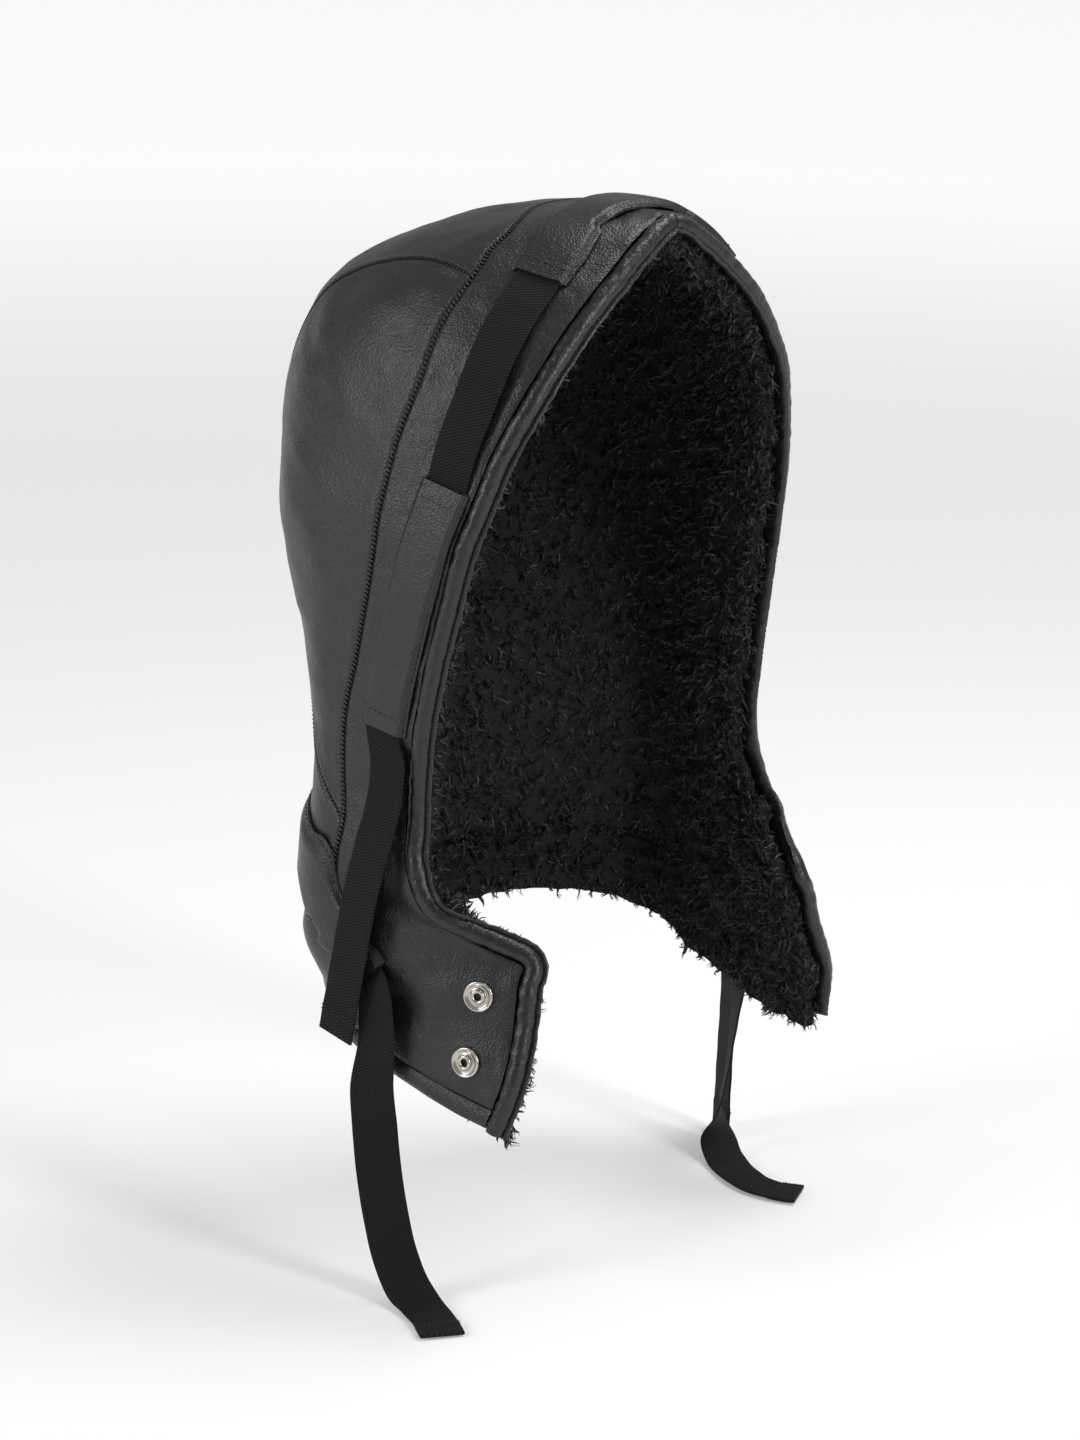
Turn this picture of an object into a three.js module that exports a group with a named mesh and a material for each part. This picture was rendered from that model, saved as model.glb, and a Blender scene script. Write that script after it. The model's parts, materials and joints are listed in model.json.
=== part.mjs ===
import * as THREE from 'three';

// Sheepskin hood with a rolled face edge, two webbing straps and two press studs.
// Millimetres, +Z up, the face looks toward -Y and the wearer's right side is -X.
// The origin is the seat of the head, inside the top of the crown.

// Outer size of the leather shell.
const HOOD_HALF_WIDTH = 153;
const HOOD_DEPTH = 241;
const HOOD_HEIGHT = 488;

// Leather, seams and wool.
const LEATHER = 1.6;
const SEAM_GAP = 0.3;
const WOOL_THICKNESS = 15;
const WOOL_LOCK_DEPTH = 4;
const WOOL_RIM_OVERHANG = 9;
const WOOL_HEM_OVERHANG = 5;
const WOOL_SINK = 1.3;
const WOOL_SEAT = 1.1;
const HEAD_CLEARANCE = 8.4;

// Rolled binding round the face opening.
const BINDING_WIDTH = 12;
const BINDING_THICKNESS = 8;
const BINDING_SINK = 2.6;
const BINDING_SEAT = 0.8;

// Webbing and the leather channels that hold it.
const WEBBING_WIDTH = 25;
const WEBBING_THICKNESS = 1.5;
const WEBBING_CLEARANCE = 1;
const CHANNEL_LEATHER = 1.2;
const CHANNEL_SEAT = 0.8;
const CHANNEL_STITCH = 1.3;

// Press studs on the right flap and the plain caps of their mates on the left flap.
const STUD_DIAMETER = 17;
const STUD_HEIGHT = 3.2;
const STUD_HOLE = 3.6;
const STUD_SEAT = 0.4;
const CAP_DIAMETER = 16;
const CAP_HEIGHT = 2.4;

// Height of the crown above the head seat.
const CROWN_RISE = LEATHER + WOOL_THICKNESS + HEAD_CLEARANCE;

// Sections of the shell from the apex of the face opening, at h = 0, to the hem, at h = 1. Each
// starts at the face edge (ex, ey, ez), is half wide a share mid of the way back, with corners as
// square as sq, and ends on the centre line of the back (by, bz). dip lowers its middle.
// x is a share of the half width, y of the depth and z of the height, down from the crown.
const SECTIONS = [
  { h: .00, ex: .000, ey: -.423, ez: .004, half: .020, mid: .45, sq: 2.00, by: -.415, bz: .002, dip: 0 },
  { h: .04, ex: .098, ey: -.436, ez: .012, half: .144, mid: .45, sq: 2.00, by: -.299, bz: .000, dip: 0 },
  { h: .08, ex: .183, ey: -.440, ez: .027, half: .263, mid: .45, sq: 2.00, by: -.186, bz: .002, dip: 0 },
  { h: .14, ex: .327, ey: -.444, ez: .059, half: .448, mid: .45, sq: 2.01, by: -.001, bz: .012, dip: 0 },
  { h: .20, ex: .477, ey: -.440, ez: .098, half: .626, mid: .45, sq: 2.12, by: .190, bz: .041, dip: 0 },
  { h: .26, ex: .601, ey: -.427, ez: .143, half: .745, mid: .45, sq: 2.24, by: .349, bz: .080, dip: 0 },
  { h: .32, ex: .712, ey: -.407, ez: .195, half: .823, mid: .45, sq: 2.29, by: .430, bz: .141, dip: 0 },
  { h: .37, ex: .784, ey: -.378, ez: .244, half: .868, mid: .45, sq: 2.29, by: .461, bz: .203, dip: 0 },
  { h: .42, ex: .830, ey: -.357, ez: .291, half: .900, mid: .45, sq: 2.29, by: .458, bz: .269, dip: 0 },
  { h: .46, ex: .869, ey: -.332, ez: .336, half: .923, mid: .45, sq: 2.32, by: .443, bz: .328, dip: 0 },
  { h: .52, ex: .895, ey: -.303, ez: .404, half: .927, mid: .45, sq: 2.25, by: .403, bz: .404, dip: 0 },
  { h: .58, ex: .915, ey: -.270, ez: .482, half: .924, mid: .45, sq: 2.07, by: .349, bz: .482, dip: 0 },
  { h: .64, ex: .928, ey: -.245, ez: .564, half: .936, mid: .45, sq: 2.07, by: .281, bz: .564, dip: 0 },
  { h: .70, ex: .935, ey: -.237, ez: .656, half: .961, mid: .42, sq: 2.10, by: .259, bz: .650, dip: 0 },
  { h: .74, ex: .961, ey: -.253, ez: .709, half: .988, mid: .40, sq: 2.11, by: .273, bz: .699, dip: 0 },
  { h: .77, ex: .954, ey: -.299, ez: .752, half: .990, mid: .45, sq: 2.08, by: .280, bz: .732, dip: 0 },
  { h: .80, ex: .882, ey: -.382, ez: .779, half: .997, mid: .50, sq: 2.08, by: .286, bz: .758, dip: 0 },
  { h: .822, ex: .806, ey: -.472, ez: .7965, half: .999, mid: .52, sq: 2.11, by: .293, bz: .774, dip: .012 },
  { h: .832, ex: .778, ey: -.506, ez: .804, half: .999, mid: .52, sq: 2.12, by: .295, bz: .780, dip: .018 },
  { h: .842, ex: .797, ey: -.508, ez: .8165, half: .999, mid: .53, sq: 2.13, by: .294, bz: .787, dip: .018 },
  { h: .88, ex: .830, ey: -.515, ez: .859, half: .998, mid: .54, sq: 2.14, by: .289, bz: .809, dip: .018 },
  { h: .94, ex: .895, ey: -.523, ez: .922, half: .980, mid: .55, sq: 2.10, by: .251, bz: .840, dip: .014 },
  { h: 1.00, ex: .935, ey: -.494, ez: .982, half: .961, mid: .55, sq: 2.06, by: .208, bz: .871, dip: .016 },
];
const SECTION_LENGTHS = ['ex', 'ey', 'ez', 'half', 'mid', 'sq', 'by', 'bz', 'dip'];

// Share of a section's run, q from 0 at the face edge to 1 at the back, that is before its widest place.
const FRONT_RUN = 0.42;

// Soft dents and swells of the shell, at (h, q), as wide as (reachH, reachQ). depth is a share of
// the half width, inward.
const DENTS = [
  { h: 0.893, q: 0.262, reachH: 0.030, reachQ: 0.050, depth: 0.034 },
  { h: 0.262, q: 0.580, reachH: 0.022, reachQ: 0.050, depth: 0.018 },
  { h: 0.760, q: 0.140, reachH: 0.030, reachQ: 0.070, depth: 0.014 },
  { h: 0.850, q: 0.560, reachH: 0.040, reachQ: 0.090, depth: -0.018 },
];

// Lines across the shell. Each runs from the face edge, at h = edge, over the seam behind the band
// (bandH, bandQ) and the seam behind the side panel (sideH, sideQ) to the back, at h = back.
// Above the side panel, and below it, its two seams are one.
const LINES = [
  { edge: 0.000, bandH: 0.097, bandQ: 1.000, sideH: 0.097, sideQ: 1.000, back: 0.097 },
  { edge: 0.030, bandH: 0.101, bandQ: 0.890, sideH: 0.101, sideQ: 0.890, back: 0.110 },
  { edge: 0.060, bandH: 0.109, bandQ: 0.690, sideH: 0.109, sideQ: 0.690, back: 0.123 },
  { edge: 0.090, bandH: 0.127, bandQ: 0.545, sideH: 0.127, sideQ: 0.545, back: 0.138 },
  { edge: 0.120, bandH: 0.155, bandQ: 0.460, sideH: 0.155, sideQ: 0.460, back: 0.155 },
  { edge: 0.150, bandH: 0.187, bandQ: 0.378, sideH: 0.187, sideQ: 0.378, back: 0.172 },
  { edge: 0.182, bandH: 0.214, bandQ: 0.335, sideH: 0.185, sideQ: 0.460, back: 0.195 },
  { edge: 0.214, bandH: 0.245, bandQ: 0.303, sideH: 0.190, sideQ: 0.530, back: 0.220 },
  { edge: 0.246, bandH: 0.275, bandQ: 0.282, sideH: 0.202, sideQ: 0.585, back: 0.247 },
  { edge: 0.280, bandH: 0.306, bandQ: 0.265, sideH: 0.224, sideQ: 0.630, back: 0.278 },
  { edge: 0.315, bandH: 0.340, bandQ: 0.257, sideH: 0.256, sideQ: 0.662, back: 0.310 },
  { edge: 0.350, bandH: 0.374, bandQ: 0.256, sideH: 0.294, sideQ: 0.690, back: 0.343 },
  { edge: 0.390, bandH: 0.410, bandQ: 0.258, sideH: 0.338, sideQ: 0.708, back: 0.380 },
  { edge: 0.430, bandH: 0.446, bandQ: 0.258, sideH: 0.386, sideQ: 0.718, back: 0.420 },
  { edge: 0.470, bandH: 0.480, bandQ: 0.256, sideH: 0.434, sideQ: 0.720, back: 0.460 },
  { edge: 0.510, bandH: 0.516, bandQ: 0.266, sideH: 0.484, sideQ: 0.712, back: 0.502 },
  { edge: 0.550, bandH: 0.554, bandQ: 0.286, sideH: 0.534, sideQ: 0.692, back: 0.545 },
  { edge: 0.590, bandH: 0.592, bandQ: 0.316, sideH: 0.582, sideQ: 0.658, back: 0.588 },
  { edge: 0.630, bandH: 0.632, bandQ: 0.362, sideH: 0.626, sideQ: 0.612, back: 0.630 },
  { edge: 0.665, bandH: 0.666, bandQ: 0.374, sideH: 0.663, sideQ: 0.550, back: 0.665 },
  { edge: 0.695, bandH: 0.695, bandQ: 0.366, sideH: 0.694, sideQ: 0.456, back: 0.694 },
  { edge: 0.718, bandH: 0.715, bandQ: 0.368, sideH: 0.715, sideQ: 0.368, back: 0.718 },
  { edge: 0.745, bandH: 0.745, bandQ: 0.406, sideH: 0.745, sideQ: 0.406, back: 0.744 },
  { edge: 0.766, bandH: 0.768, bandQ: 0.415, sideH: 0.768, sideQ: 0.415, back: 0.768 },
  { edge: 0.784, bandH: 0.790, bandQ: 0.418, sideH: 0.790, sideQ: 0.418, back: 0.792 },
  { edge: 0.802, bandH: 0.812, bandQ: 0.420, sideH: 0.812, sideQ: 0.420, back: 0.815 },
  { edge: 0.818, bandH: 0.834, bandQ: 0.422, sideH: 0.834, sideQ: 0.422, back: 0.838 },
  { edge: 0.832, bandH: 0.856, bandQ: 0.424, sideH: 0.856, sideQ: 0.424, back: 0.860 },
  { edge: 0.855, bandH: 0.878, bandQ: 0.426, sideH: 0.878, sideQ: 0.426, back: 0.882 },
  { edge: 0.895, bandH: 0.908, bandQ: 0.430, sideH: 0.908, sideQ: 0.430, back: 0.907 },
  { edge: 0.938, bandH: 0.940, bandQ: 0.434, sideH: 0.940, sideQ: 0.434, back: 0.932 },
  { edge: 0.978, bandH: 0.970, bandQ: 0.438, sideH: 0.970, sideQ: 0.438, back: 0.955 },
  { edge: 1.000, bandH: 1.000, bandQ: 0.440, sideH: 1.000, sideQ: 0.440, back: 1.000 },
];
const SIDE_PANEL_TOP = 5;
const SIDE_PANEL_TIP = 21;
const HEM_LINE = LINES.length - 2;
const BAND_COLUMNS = 4;
const SIDE_COLUMNS = 3;
const CROWN_COLUMNS = 6;
const HEM_SEAM = 2 * SEAM_GAP;

// Centre lines of the leather channels over the shell. wide is a share of the webbing width.
const TOP_CHANNEL = [
  { h: 0.042, q: 1.000, wide: 1.36 },
  { h: 0.045, q: 0.812, wide: 1.36 },
  { h: 0.057, q: 0.607, wide: 1.36 },
  { h: 0.085, q: 0.423, wide: 1.34 },
  { h: 0.112, q: 0.300, wide: 1.30 },
  { h: 0.140, q: 0.234, wide: 1.26 },
  { h: 0.167, q: 0.188, wide: 1.22 },
];
const SIDE_CHANNEL = [
  { h: 0.412, q: 0.078, wide: 1.20 },
  { h: 0.440, q: 0.080, wide: 1.20 },
  { h: 0.470, q: 0.084, wide: 1.20 },
  { h: 0.500, q: 0.090, wide: 1.22 },
  { h: 0.530, q: 0.098, wide: 1.24 },
  { h: 0.560, q: 0.108, wide: 1.26 },
  { h: 0.590, q: 0.120, wide: 1.28 },
  { h: 0.615, q: 0.131, wide: 1.28 },
  { h: 0.636, q: 0.141, wide: 1.28 },
];
const NAPE_CHANNEL = [
  { h: 0.742, q: 1.000, wide: 1.90 },
  { h: 0.743, q: 0.930, wide: 1.90 },
  { h: 0.745, q: 0.860, wide: 1.90 },
  { h: 0.747, q: 0.785, wide: 1.88 },
  { h: 0.750, q: 0.705, wide: 1.84 },
  { h: 0.755, q: 0.635, wide: 1.76 },
  { h: 0.762, q: 0.575, wide: 1.68 },
  { h: 0.772, q: 0.524, wide: 1.60 },
  { h: 0.785, q: 0.482, wide: 1.50 },
  { h: 0.801, q: 0.448, wide: 1.40 },
  { h: 0.818, q: 0.420, wide: 1.32 },
  { h: 0.835, q: 0.393, wide: 1.26 },
  { h: 0.851, q: 0.367, wide: 1.22 },
  { h: 0.866, q: 0.343, wide: 1.18 },
];

// Open run of the head strap between its channels. lift is a share of the webbing width.
const HEAD_STRAP_BRIDGE = [
  { h: 0.184, q: 0.165, lift: 0.02 },
  { h: 0.220, q: 0.138, lift: 0.07 },
  { h: 0.260, q: 0.116, lift: 0.11 },
  { h: 0.300, q: 0.100, lift: 0.11 },
  { h: 0.340, q: 0.088, lift: 0.08 },
  { h: 0.380, q: 0.080, lift: 0.03 },
];

// Hanging ends of the straps: chosen points of their centre lines on the right side, from the head
// seat, each with the direction (wx, wy, wz) of the webbing's width. Left ends are mirrored.
const HEAD_STRAP_RIGHT_END = [
  { x: -148.8, y: -48, z: -263, wx: 0.0, wy: 1.0, wz: 0.0 },
  { x: -153.0, y: -50, z: -283, wx: 0.0, wy: 1.0, wz: 0.0 },
  { x: -157.6, y: -46, z: -309, wx: 0.0, wy: 1.0, wz: 0.0 },
  { x: -160.2, y: -40, z: -337, wx: 0.0, wy: 1.0, wz: 0.0 },
  { x: -162.0, y: -35, z: -368, wx: 0.0, wy: 1.0, wz: 0.0 },
  { x: -163.0, y: -30, z: -396, wx: 0.0, wy: 1.0, wz: 0.0 },
  { x: -163.0, y: -25, z: -421, wx: 0.0, wy: 1.0, wz: 0.0 },
];
const HEAD_STRAP_LEFT_END = [
  { x: -148.8, y: -46, z: -263, wx: 0.0, wy: 1.0, wz: 0.0 },
  { x: -153.2, y: -45, z: -285, wx: 0.0, wy: 1.0, wz: 0.0 },
  { x: -158.0, y: -43, z: -315, wx: 0.0, wy: 1.0, wz: 0.0 },
  { x: -161.4, y: -41, z: -350, wx: 0.0, wy: 1.0, wz: 0.0 },
  { x: -163.0, y: -40, z: -390, wx: -0.1, wy: 1.0, wz: 0.0 },
  { x: -163.0, y: -39, z: -430, wx: -0.3, wy: 0.95, wz: 0.0 },
  { x: -162.0, y: -38, z: -475, wx: -0.5, wy: 0.87, wz: 0.0 },
  { x: -160.6, y: -38, z: -520, wx: -0.5, wy: 0.87, wz: 0.0 },
  { x: -159.6, y: -38, z: -561, wx: -0.5, wy: 0.87, wz: 0.0 },
];
const NECK_STRAP_RIGHT_END = [
  { x: -154.8, y: -44, z: -387, wx: 0.0, wy: 0.75, wz: -0.66 },
  { x: -156.2, y: -48, z: -396, wx: -0.04, wy: 0.92, wz: -0.38 },
  { x: -156.8, y: -50, z: -409, wx: -0.06, wy: 0.97, wz: -0.12 },
  { x: -157.0, y: -50, z: -426, wx: -0.12, wy: 0.97, wz: 0.0 },
  { x: -157.4, y: -48, z: -446, wx: -0.42, wy: 0.91, wz: 0.0 },
  { x: -157.0, y: -50, z: -468, wx: -0.60, wy: 0.80, wz: 0.0 },
  { x: -157.0, y: -54, z: -495, wx: -0.67, wy: 0.74, wz: 0.0 },
  { x: -157.0, y: -60, z: -520, wx: -0.69, wy: 0.72, wz: 0.0 },
  { x: -156.6, y: -67, z: -541, wx: -0.71, wy: 0.70, wz: 0.0 },
  { x: -156.8, y: -77, z: -556, wx: -0.76, wy: 0.65, wz: 0.0 },
  { x: -159.6, y: -91, z: -562, wx: -0.83, wy: 0.56, wz: 0.0 },
  { x: -166.0, y: -106, z: -563, wx: -0.88, wy: 0.47, wz: 0.0 },
  { x: -176.0, y: -122, z: -563, wx: -0.89, wy: 0.45, wz: 0.0 },
];
const NECK_STRAP_LEFT_END = [
  { x: -154.8, y: -44, z: -387, wx: 0.0, wy: 0.75, wz: -0.66 },
  { x: -156.4, y: -49, z: -397, wx: -0.06, wy: 0.92, wz: -0.38 },
  { x: -156.2, y: -52, z: -411, wx: -0.10, wy: 0.99, wz: -0.10 },
  { x: -154.8, y: -53, z: -430, wx: -0.20, wy: 0.98, wz: 0.0 },
  { x: -151.0, y: -54, z: -458, wx: -0.50, wy: 0.86, wz: 0.0 },
  { x: -146.6, y: -55, z: -488, wx: -0.70, wy: 0.71, wz: 0.0 },
  { x: -142.2, y: -55, z: -515, wx: -0.76, wy: 0.65, wz: 0.0 },
  { x: -137.8, y: -54, z: -541, wx: -0.84, wy: 0.52, wz: 0.0 },
  { x: -131.6, y: -60, z: -557.6, wx: -0.90, wy: -0.30, wz: 0.0 },
  { x: -122.0, y: -74, z: -562.6, wx: -0.84, wy: -0.54, wz: 0.0 },
  { x: -112.0, y: -93, z: -563, wx: -0.92, wy: -0.38, wz: 0.0 },
  { x: -107.0, y: -111, z: -563, wx: -0.99, wy: -0.05, wz: 0.0 },
  { x: -109.0, y: -125, z: -563, wx: -0.98, wy: 0.18, wz: 0.0 },
  { x: -114.0, y: -136, z: -563, wx: -0.92, wy: 0.38, wz: 0.0 },
];

// Places of the press studs on the right flap, and of their mates on the left one.
const STUD_PLACES = [
  { name: 'upper', h: 0.860, q: 0.075 },
  { name: 'lower', h: 0.935, q: 0.092 },
];

const LEATHER_BLACK = { color: 0x242425, roughness: 0.5, metalness: 0 };
const WOOL_BLACK = { color: 0x141416, roughness: 0.95, metalness: 0 };
const WEBBING_BLACK = { color: 0x1b1b1d, roughness: 0.85, metalness: 0 };
const NICKEL = { color: 0xc9c4bb, roughness: 0.25, metalness: 1 };

const model = new THREE.Group();

// Values of the section at h, eased through the rows of the table.
function sectionAt(h) {
  let row = 0;
  while (row < SECTIONS.length - 2 && h > SECTIONS[row + 1].h) {
    row += 1;
  }
  const from = SECTIONS[row];
  const to = SECTIONS[row + 1];
  const span = to.h - from.h;
  const u = THREE.MathUtils.clamp((h - from.h) / span, 0, 1);
  const section = {};
  for (const key of SECTION_LENGTHS) {
    const startSlope = slopeAt(row, key) * span;
    const endSlope = slopeAt(row + 1, key) * span;
    const rise = to[key] - from[key];
    const bend = startSlope + endSlope - 2 * rise;
    section[key] = from[key] + u * (startSlope + u * (rise - startSlope - bend + u * bend));
  }
  return section;
}

function slopeAt(row, key) {
  const here = SECTIONS[row];
  const before = SECTIONS[row - 1];
  const after = SECTIONS[row + 1];
  if (!before) {
    return (after[key] - here[key]) / (after.h - here.h);
  }
  const slopeBefore = (here[key] - before[key]) / (here.h - before.h);
  if (!after) {
    return slopeBefore;
  }
  const slopeAfter = (after[key] - here[key]) / (after.h - here.h);
  const reachBefore = here.h - before.h;
  const reachAfter = after.h - here.h;
  return (slopeBefore * reachAfter + slopeAfter * reachBefore) / (reachBefore + reachAfter);
}

// Smooth right half of the shell, before its dents.
function smoothPoint(h, q) {
  const section = sectionAt(h);
  let share = 0;
  let half = 0;
  if (q < FRONT_RUN) {
    const run = q / FRONT_RUN;
    share = section.mid * run;
    half = section.half - (section.half - section.ex) * (1 - run) ** 2;
  } else {
    const turn = (Math.PI / 2) * Math.min((q - FRONT_RUN) / (1 - FRONT_RUN), 1);
    share = section.mid + (1 - section.mid) * Math.sin(turn) ** (2 / section.sq);
    half = section.half * Math.max(Math.cos(turn), 0) ** (2 / section.sq);
  }
  const y = section.ey + (section.by - section.ey) * share;
  const down = section.ez + (section.bz - section.ez) * share + section.dip * 4 * share * (1 - share);
  const x = q > 0.9999 ? 0 : -half * HOOD_HALF_WIDTH;
  return new THREE.Vector3(x, y * HOOD_DEPTH, CROWN_RISE - down * HOOD_HEIGHT);
}

function normalOf(pointAt, h, q) {
  const centre = THREE.MathUtils.clamp(h, 0.006, 0.998);
  const down = pointAt(centre + 0.002, q).sub(pointAt(centre - 0.002, q));
  const back = pointAt(centre, Math.min(q + 0.01, 1)).sub(pointAt(centre, Math.min(q, 0.99) - 0.01));
  const normal = back.cross(down).normalize();
  if (q > 0.9999) {
    normal.x = 0;
    normal.normalize();
  }
  return normal;
}

// Outer face of the leather at (h, q), with its dents, and the outward direction there.
function shellPoint(h, q) {
  let depth = 0;
  for (const dent of DENTS) {
    const away = ((h - dent.h) / dent.reachH) ** 2 + ((q - dent.q) / dent.reachQ) ** 2;
    depth += dent.depth * HOOD_HALF_WIDTH * Math.exp(-away);
  }
  return smoothPoint(h, q).addScaledVector(normalOf(smoothPoint, h, q), -depth);
}

function shellNormal(h, q) {
  return normalOf(shellPoint, h, q);
}

function raised(h, q, height) {
  const point = shellPoint(h, q).addScaledVector(shellNormal(h, q), height);
  if (q > 0.9999) {
    point.x = 0;
  }
  return point;
}

// Change of (h, q) that moves a point of the shell by dist along a direction in its face.
function stepAlong(h, q, direction, dist) {
  const centre = Math.max(h, 0.006);
  const downStep = shellPoint(centre + 0.002, q).sub(shellPoint(centre - 0.002, q)).divideScalar(0.004);
  const from = Math.min(q, 0.99) - 0.01;
  const to = Math.min(q + 0.01, 1);
  const backStep = shellPoint(centre, to).sub(shellPoint(centre, from)).divideScalar(to - from);
  const downDown = downStep.dot(downStep);
  const downBack = downStep.dot(backStep);
  const backBack = backStep.dot(backStep);
  const alongDown = downStep.dot(direction) * dist;
  const alongBack = backStep.dot(direction) * dist;
  const scale = downDown * backBack - downBack * downBack;
  return {
    h: (alongDown * backBack - alongBack * downBack) / scale,
    q: (alongBack * downDown - alongDown * downBack) / scale,
  };
}

function mirrored(point) {
  return new THREE.Vector3(-point.x, point.y, point.z);
}

// Closed solid from triangles given by their corners. Corners in one place become one vertex, and
// triangles that have shrunk to a line are left out.
class SolidBuilder {
  constructor() {
    this.corners = [];
    this.places = new Map();
    this.triangles = [];
  }

  corner(point) {
    const key = [point.x, point.y, point.z].map((value) => Math.round(value * 200)).join();
    if (!this.places.has(key)) {
      this.places.set(key, this.corners.length);
      this.corners.push(point);
    }
    return this.places.get(key);
  }

  triangle(a, b, c) {
    const ids = [this.corner(a), this.corner(b), this.corner(c)];
    if (ids[0] !== ids[1] && ids[1] !== ids[2] && ids[2] !== ids[0]) {
      this.triangles.push(ids);
    }
  }

  quad(a, b, c, d) {
    this.triangle(a, b, c);
    this.triangle(a, c, d);
  }

  geometry() {
    let volume = 0;
    for (const [a, b, c] of this.triangles) {
      const cross = this.corners[b].clone().cross(this.corners[c]);
      volume += this.corners[a].dot(cross);
    }
    const order = volume < 0 ? [0, 2, 1] : [0, 1, 2];
    const geometry = new THREE.BufferGeometry();
    const positions = this.corners.flatMap((point) => [point.x, point.y, point.z]);
    geometry.setAttribute('position', new THREE.Float32BufferAttribute(positions, 3));
    geometry.setIndex(this.triangles.flatMap((ids) => order.map((place) => ids[place])));
    geometry.computeVertexNormals();
    return geometry;
  }
}

// Shell between two grids of points, outer and inner, with the same rows and columns. From the
// column that starts a mirrored half on, quads are parted along their other diagonal.
function slabGeometry(outer, inner, mirrorColumn = Infinity, openStart = false) {
  const builder = new SolidBuilder();
  const lastRow = outer.length - 1;
  const lastColumn = outer[0].length - 1;
  for (let r = 0; r < lastRow; r += 1) {
    for (let c = 0; c < lastColumn; c += 1) {
      const outside = [outer[r][c], outer[r][c + 1], outer[r + 1][c + 1], outer[r + 1][c]];
      const inside = [inner[r][c + 1], inner[r][c], inner[r + 1][c], inner[r + 1][c + 1]];
      if (c < mirrorColumn) {
        inside.push(inside.shift());
      } else {
        outside.push(outside.shift());
      }
      builder.quad(...outside);
      builder.quad(...inside);
    }
    builder.quad(outer[r][0], outer[r + 1][0], inner[r + 1][0], inner[r][0]);
    const end = lastColumn;
    builder.quad(outer[r + 1][end], outer[r][end], inner[r][end], inner[r + 1][end]);
  }
  for (let c = 0; c < lastColumn; c += 1) {
    if (!openStart) {
      builder.quad(outer[0][c + 1], outer[0][c], inner[0][c], inner[0][c + 1]);
    }
    const end = lastRow;
    builder.quad(outer[end][c], outer[end][c + 1], inner[end][c + 1], inner[end][c]);
  }
  return builder.geometry();
}

// Solid through a row of closed loops of points, capped at both ends.
function loopGeometry(loops) {
  const builder = new SolidBuilder();
  const count = loops[0].length;
  for (let s = 0; s < loops.length - 1; s += 1) {
    for (let c = 0; c < count; c += 1) {
      const next = (c + 1) % count;
      builder.quad(loops[s][c], loops[s][next], loops[s + 1][next], loops[s + 1][c]);
    }
  }
  const first = loops[0];
  const last = loops[loops.length - 1];
  for (let c = 1; c < count - 1; c += 1) {
    builder.triangle(first[0], first[c + 1], first[c]);
    builder.triangle(last[0], last[c], last[c + 1]);
  }
  return builder.geometry();
}

function addPiece(name, geometry, look) {
  const mesh = new THREE.Mesh(geometry, new THREE.MeshStandardMaterial(look));
  mesh.name = name;
  model.add(mesh);
  return mesh;
}

// Stop on a seam, moved off it by offset, toward the back where that is positive.
function seamStop(index, seam, offset) {
  const line = LINES[index];
  const stop = { h: line[`${seam}H`], q: line[`${seam}Q`] };
  if (offset === 0) {
    return stop;
  }
  const before = LINES[Math.max(index - 1, 0)];
  const after = LINES[Math.min(index + 1, LINES.length - 1)];
  const start = shellPoint(before[`${seam}H`], before[`${seam}Q`]);
  const run = shellPoint(after[`${seam}H`], after[`${seam}Q`]).sub(start).normalize();
  if (index === 0) {
    run.set(-1, 0, 0);
  }
  const backward = run.clone().cross(shellNormal(stop.h, stop.q)).normalize();
  const step = stepAlong(stop.h, stop.q, backward, offset);
  return { h: stop.h + step.h, q: index === 0 ? 1 : stop.q + step.q };
}

function between(from, to, columns) {
  const places = [];
  for (let c = 0; c <= columns; c += 1) {
    const share = c / columns;
    places.push({ h: from.h + (to.h - from.h) * share, q: from.q + (to.q - from.q) * share });
  }
  return places;
}

function edgeStop(index) {
  return { h: LINES[index].edge, q: index === 0 ? 1 : 0 };
}

function backStop(index) {
  return { h: LINES[index].back, q: 1 };
}

function grids(placeRows, height, thickness) {
  const outer = placeRows.map((row) => row.map((place) => raised(place.h, place.q, height)));
  const inner = placeRows.map((row) => row.map((place) => raised(place.h, place.q, height - thickness)));
  return { outer, inner };
}

function fullSlab(rows, openStart) {
  const mirrorColumn = rows.outer[0].length - 1;
  return slabGeometry(rows.outer.map(bothSides), rows.inner.map(bothSides), mirrorColumn, openStart);
}

function bothSides(row) {
  const left = row.slice(0, -1).reverse().map(mirrored);
  return row.concat(left);
}

function addPair(name, rows) {
  addPiece(`${name}_right`, slabGeometry(rows.outer, rows.inner), LEATHER_BLACK);
  const outer = rows.outer.map((row) => row.map(mirrored));
  const inner = rows.inner.map((row) => row.map(mirrored));
  addPiece(`${name}_left`, slabGeometry(outer, inner), LEATHER_BLACK);
}

// Front bands: from the face edge to the band seam, parted by the seam at the apex.
const panelLines = LINES.slice(0, HEM_LINE + 1).map((line, index) => index);
const bandPlaces = panelLines.map((index) => {
  return between(edgeStop(index), seamStop(index, 'band', -SEAM_GAP / 2), BAND_COLUMNS);
});
const band = grids(bandPlaces, 0, LEATHER);
for (const point of band.outer[0].concat(band.inner[0])) {
  point.x = -SEAM_GAP / 2;
}
addPair('front_band', band);

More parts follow.
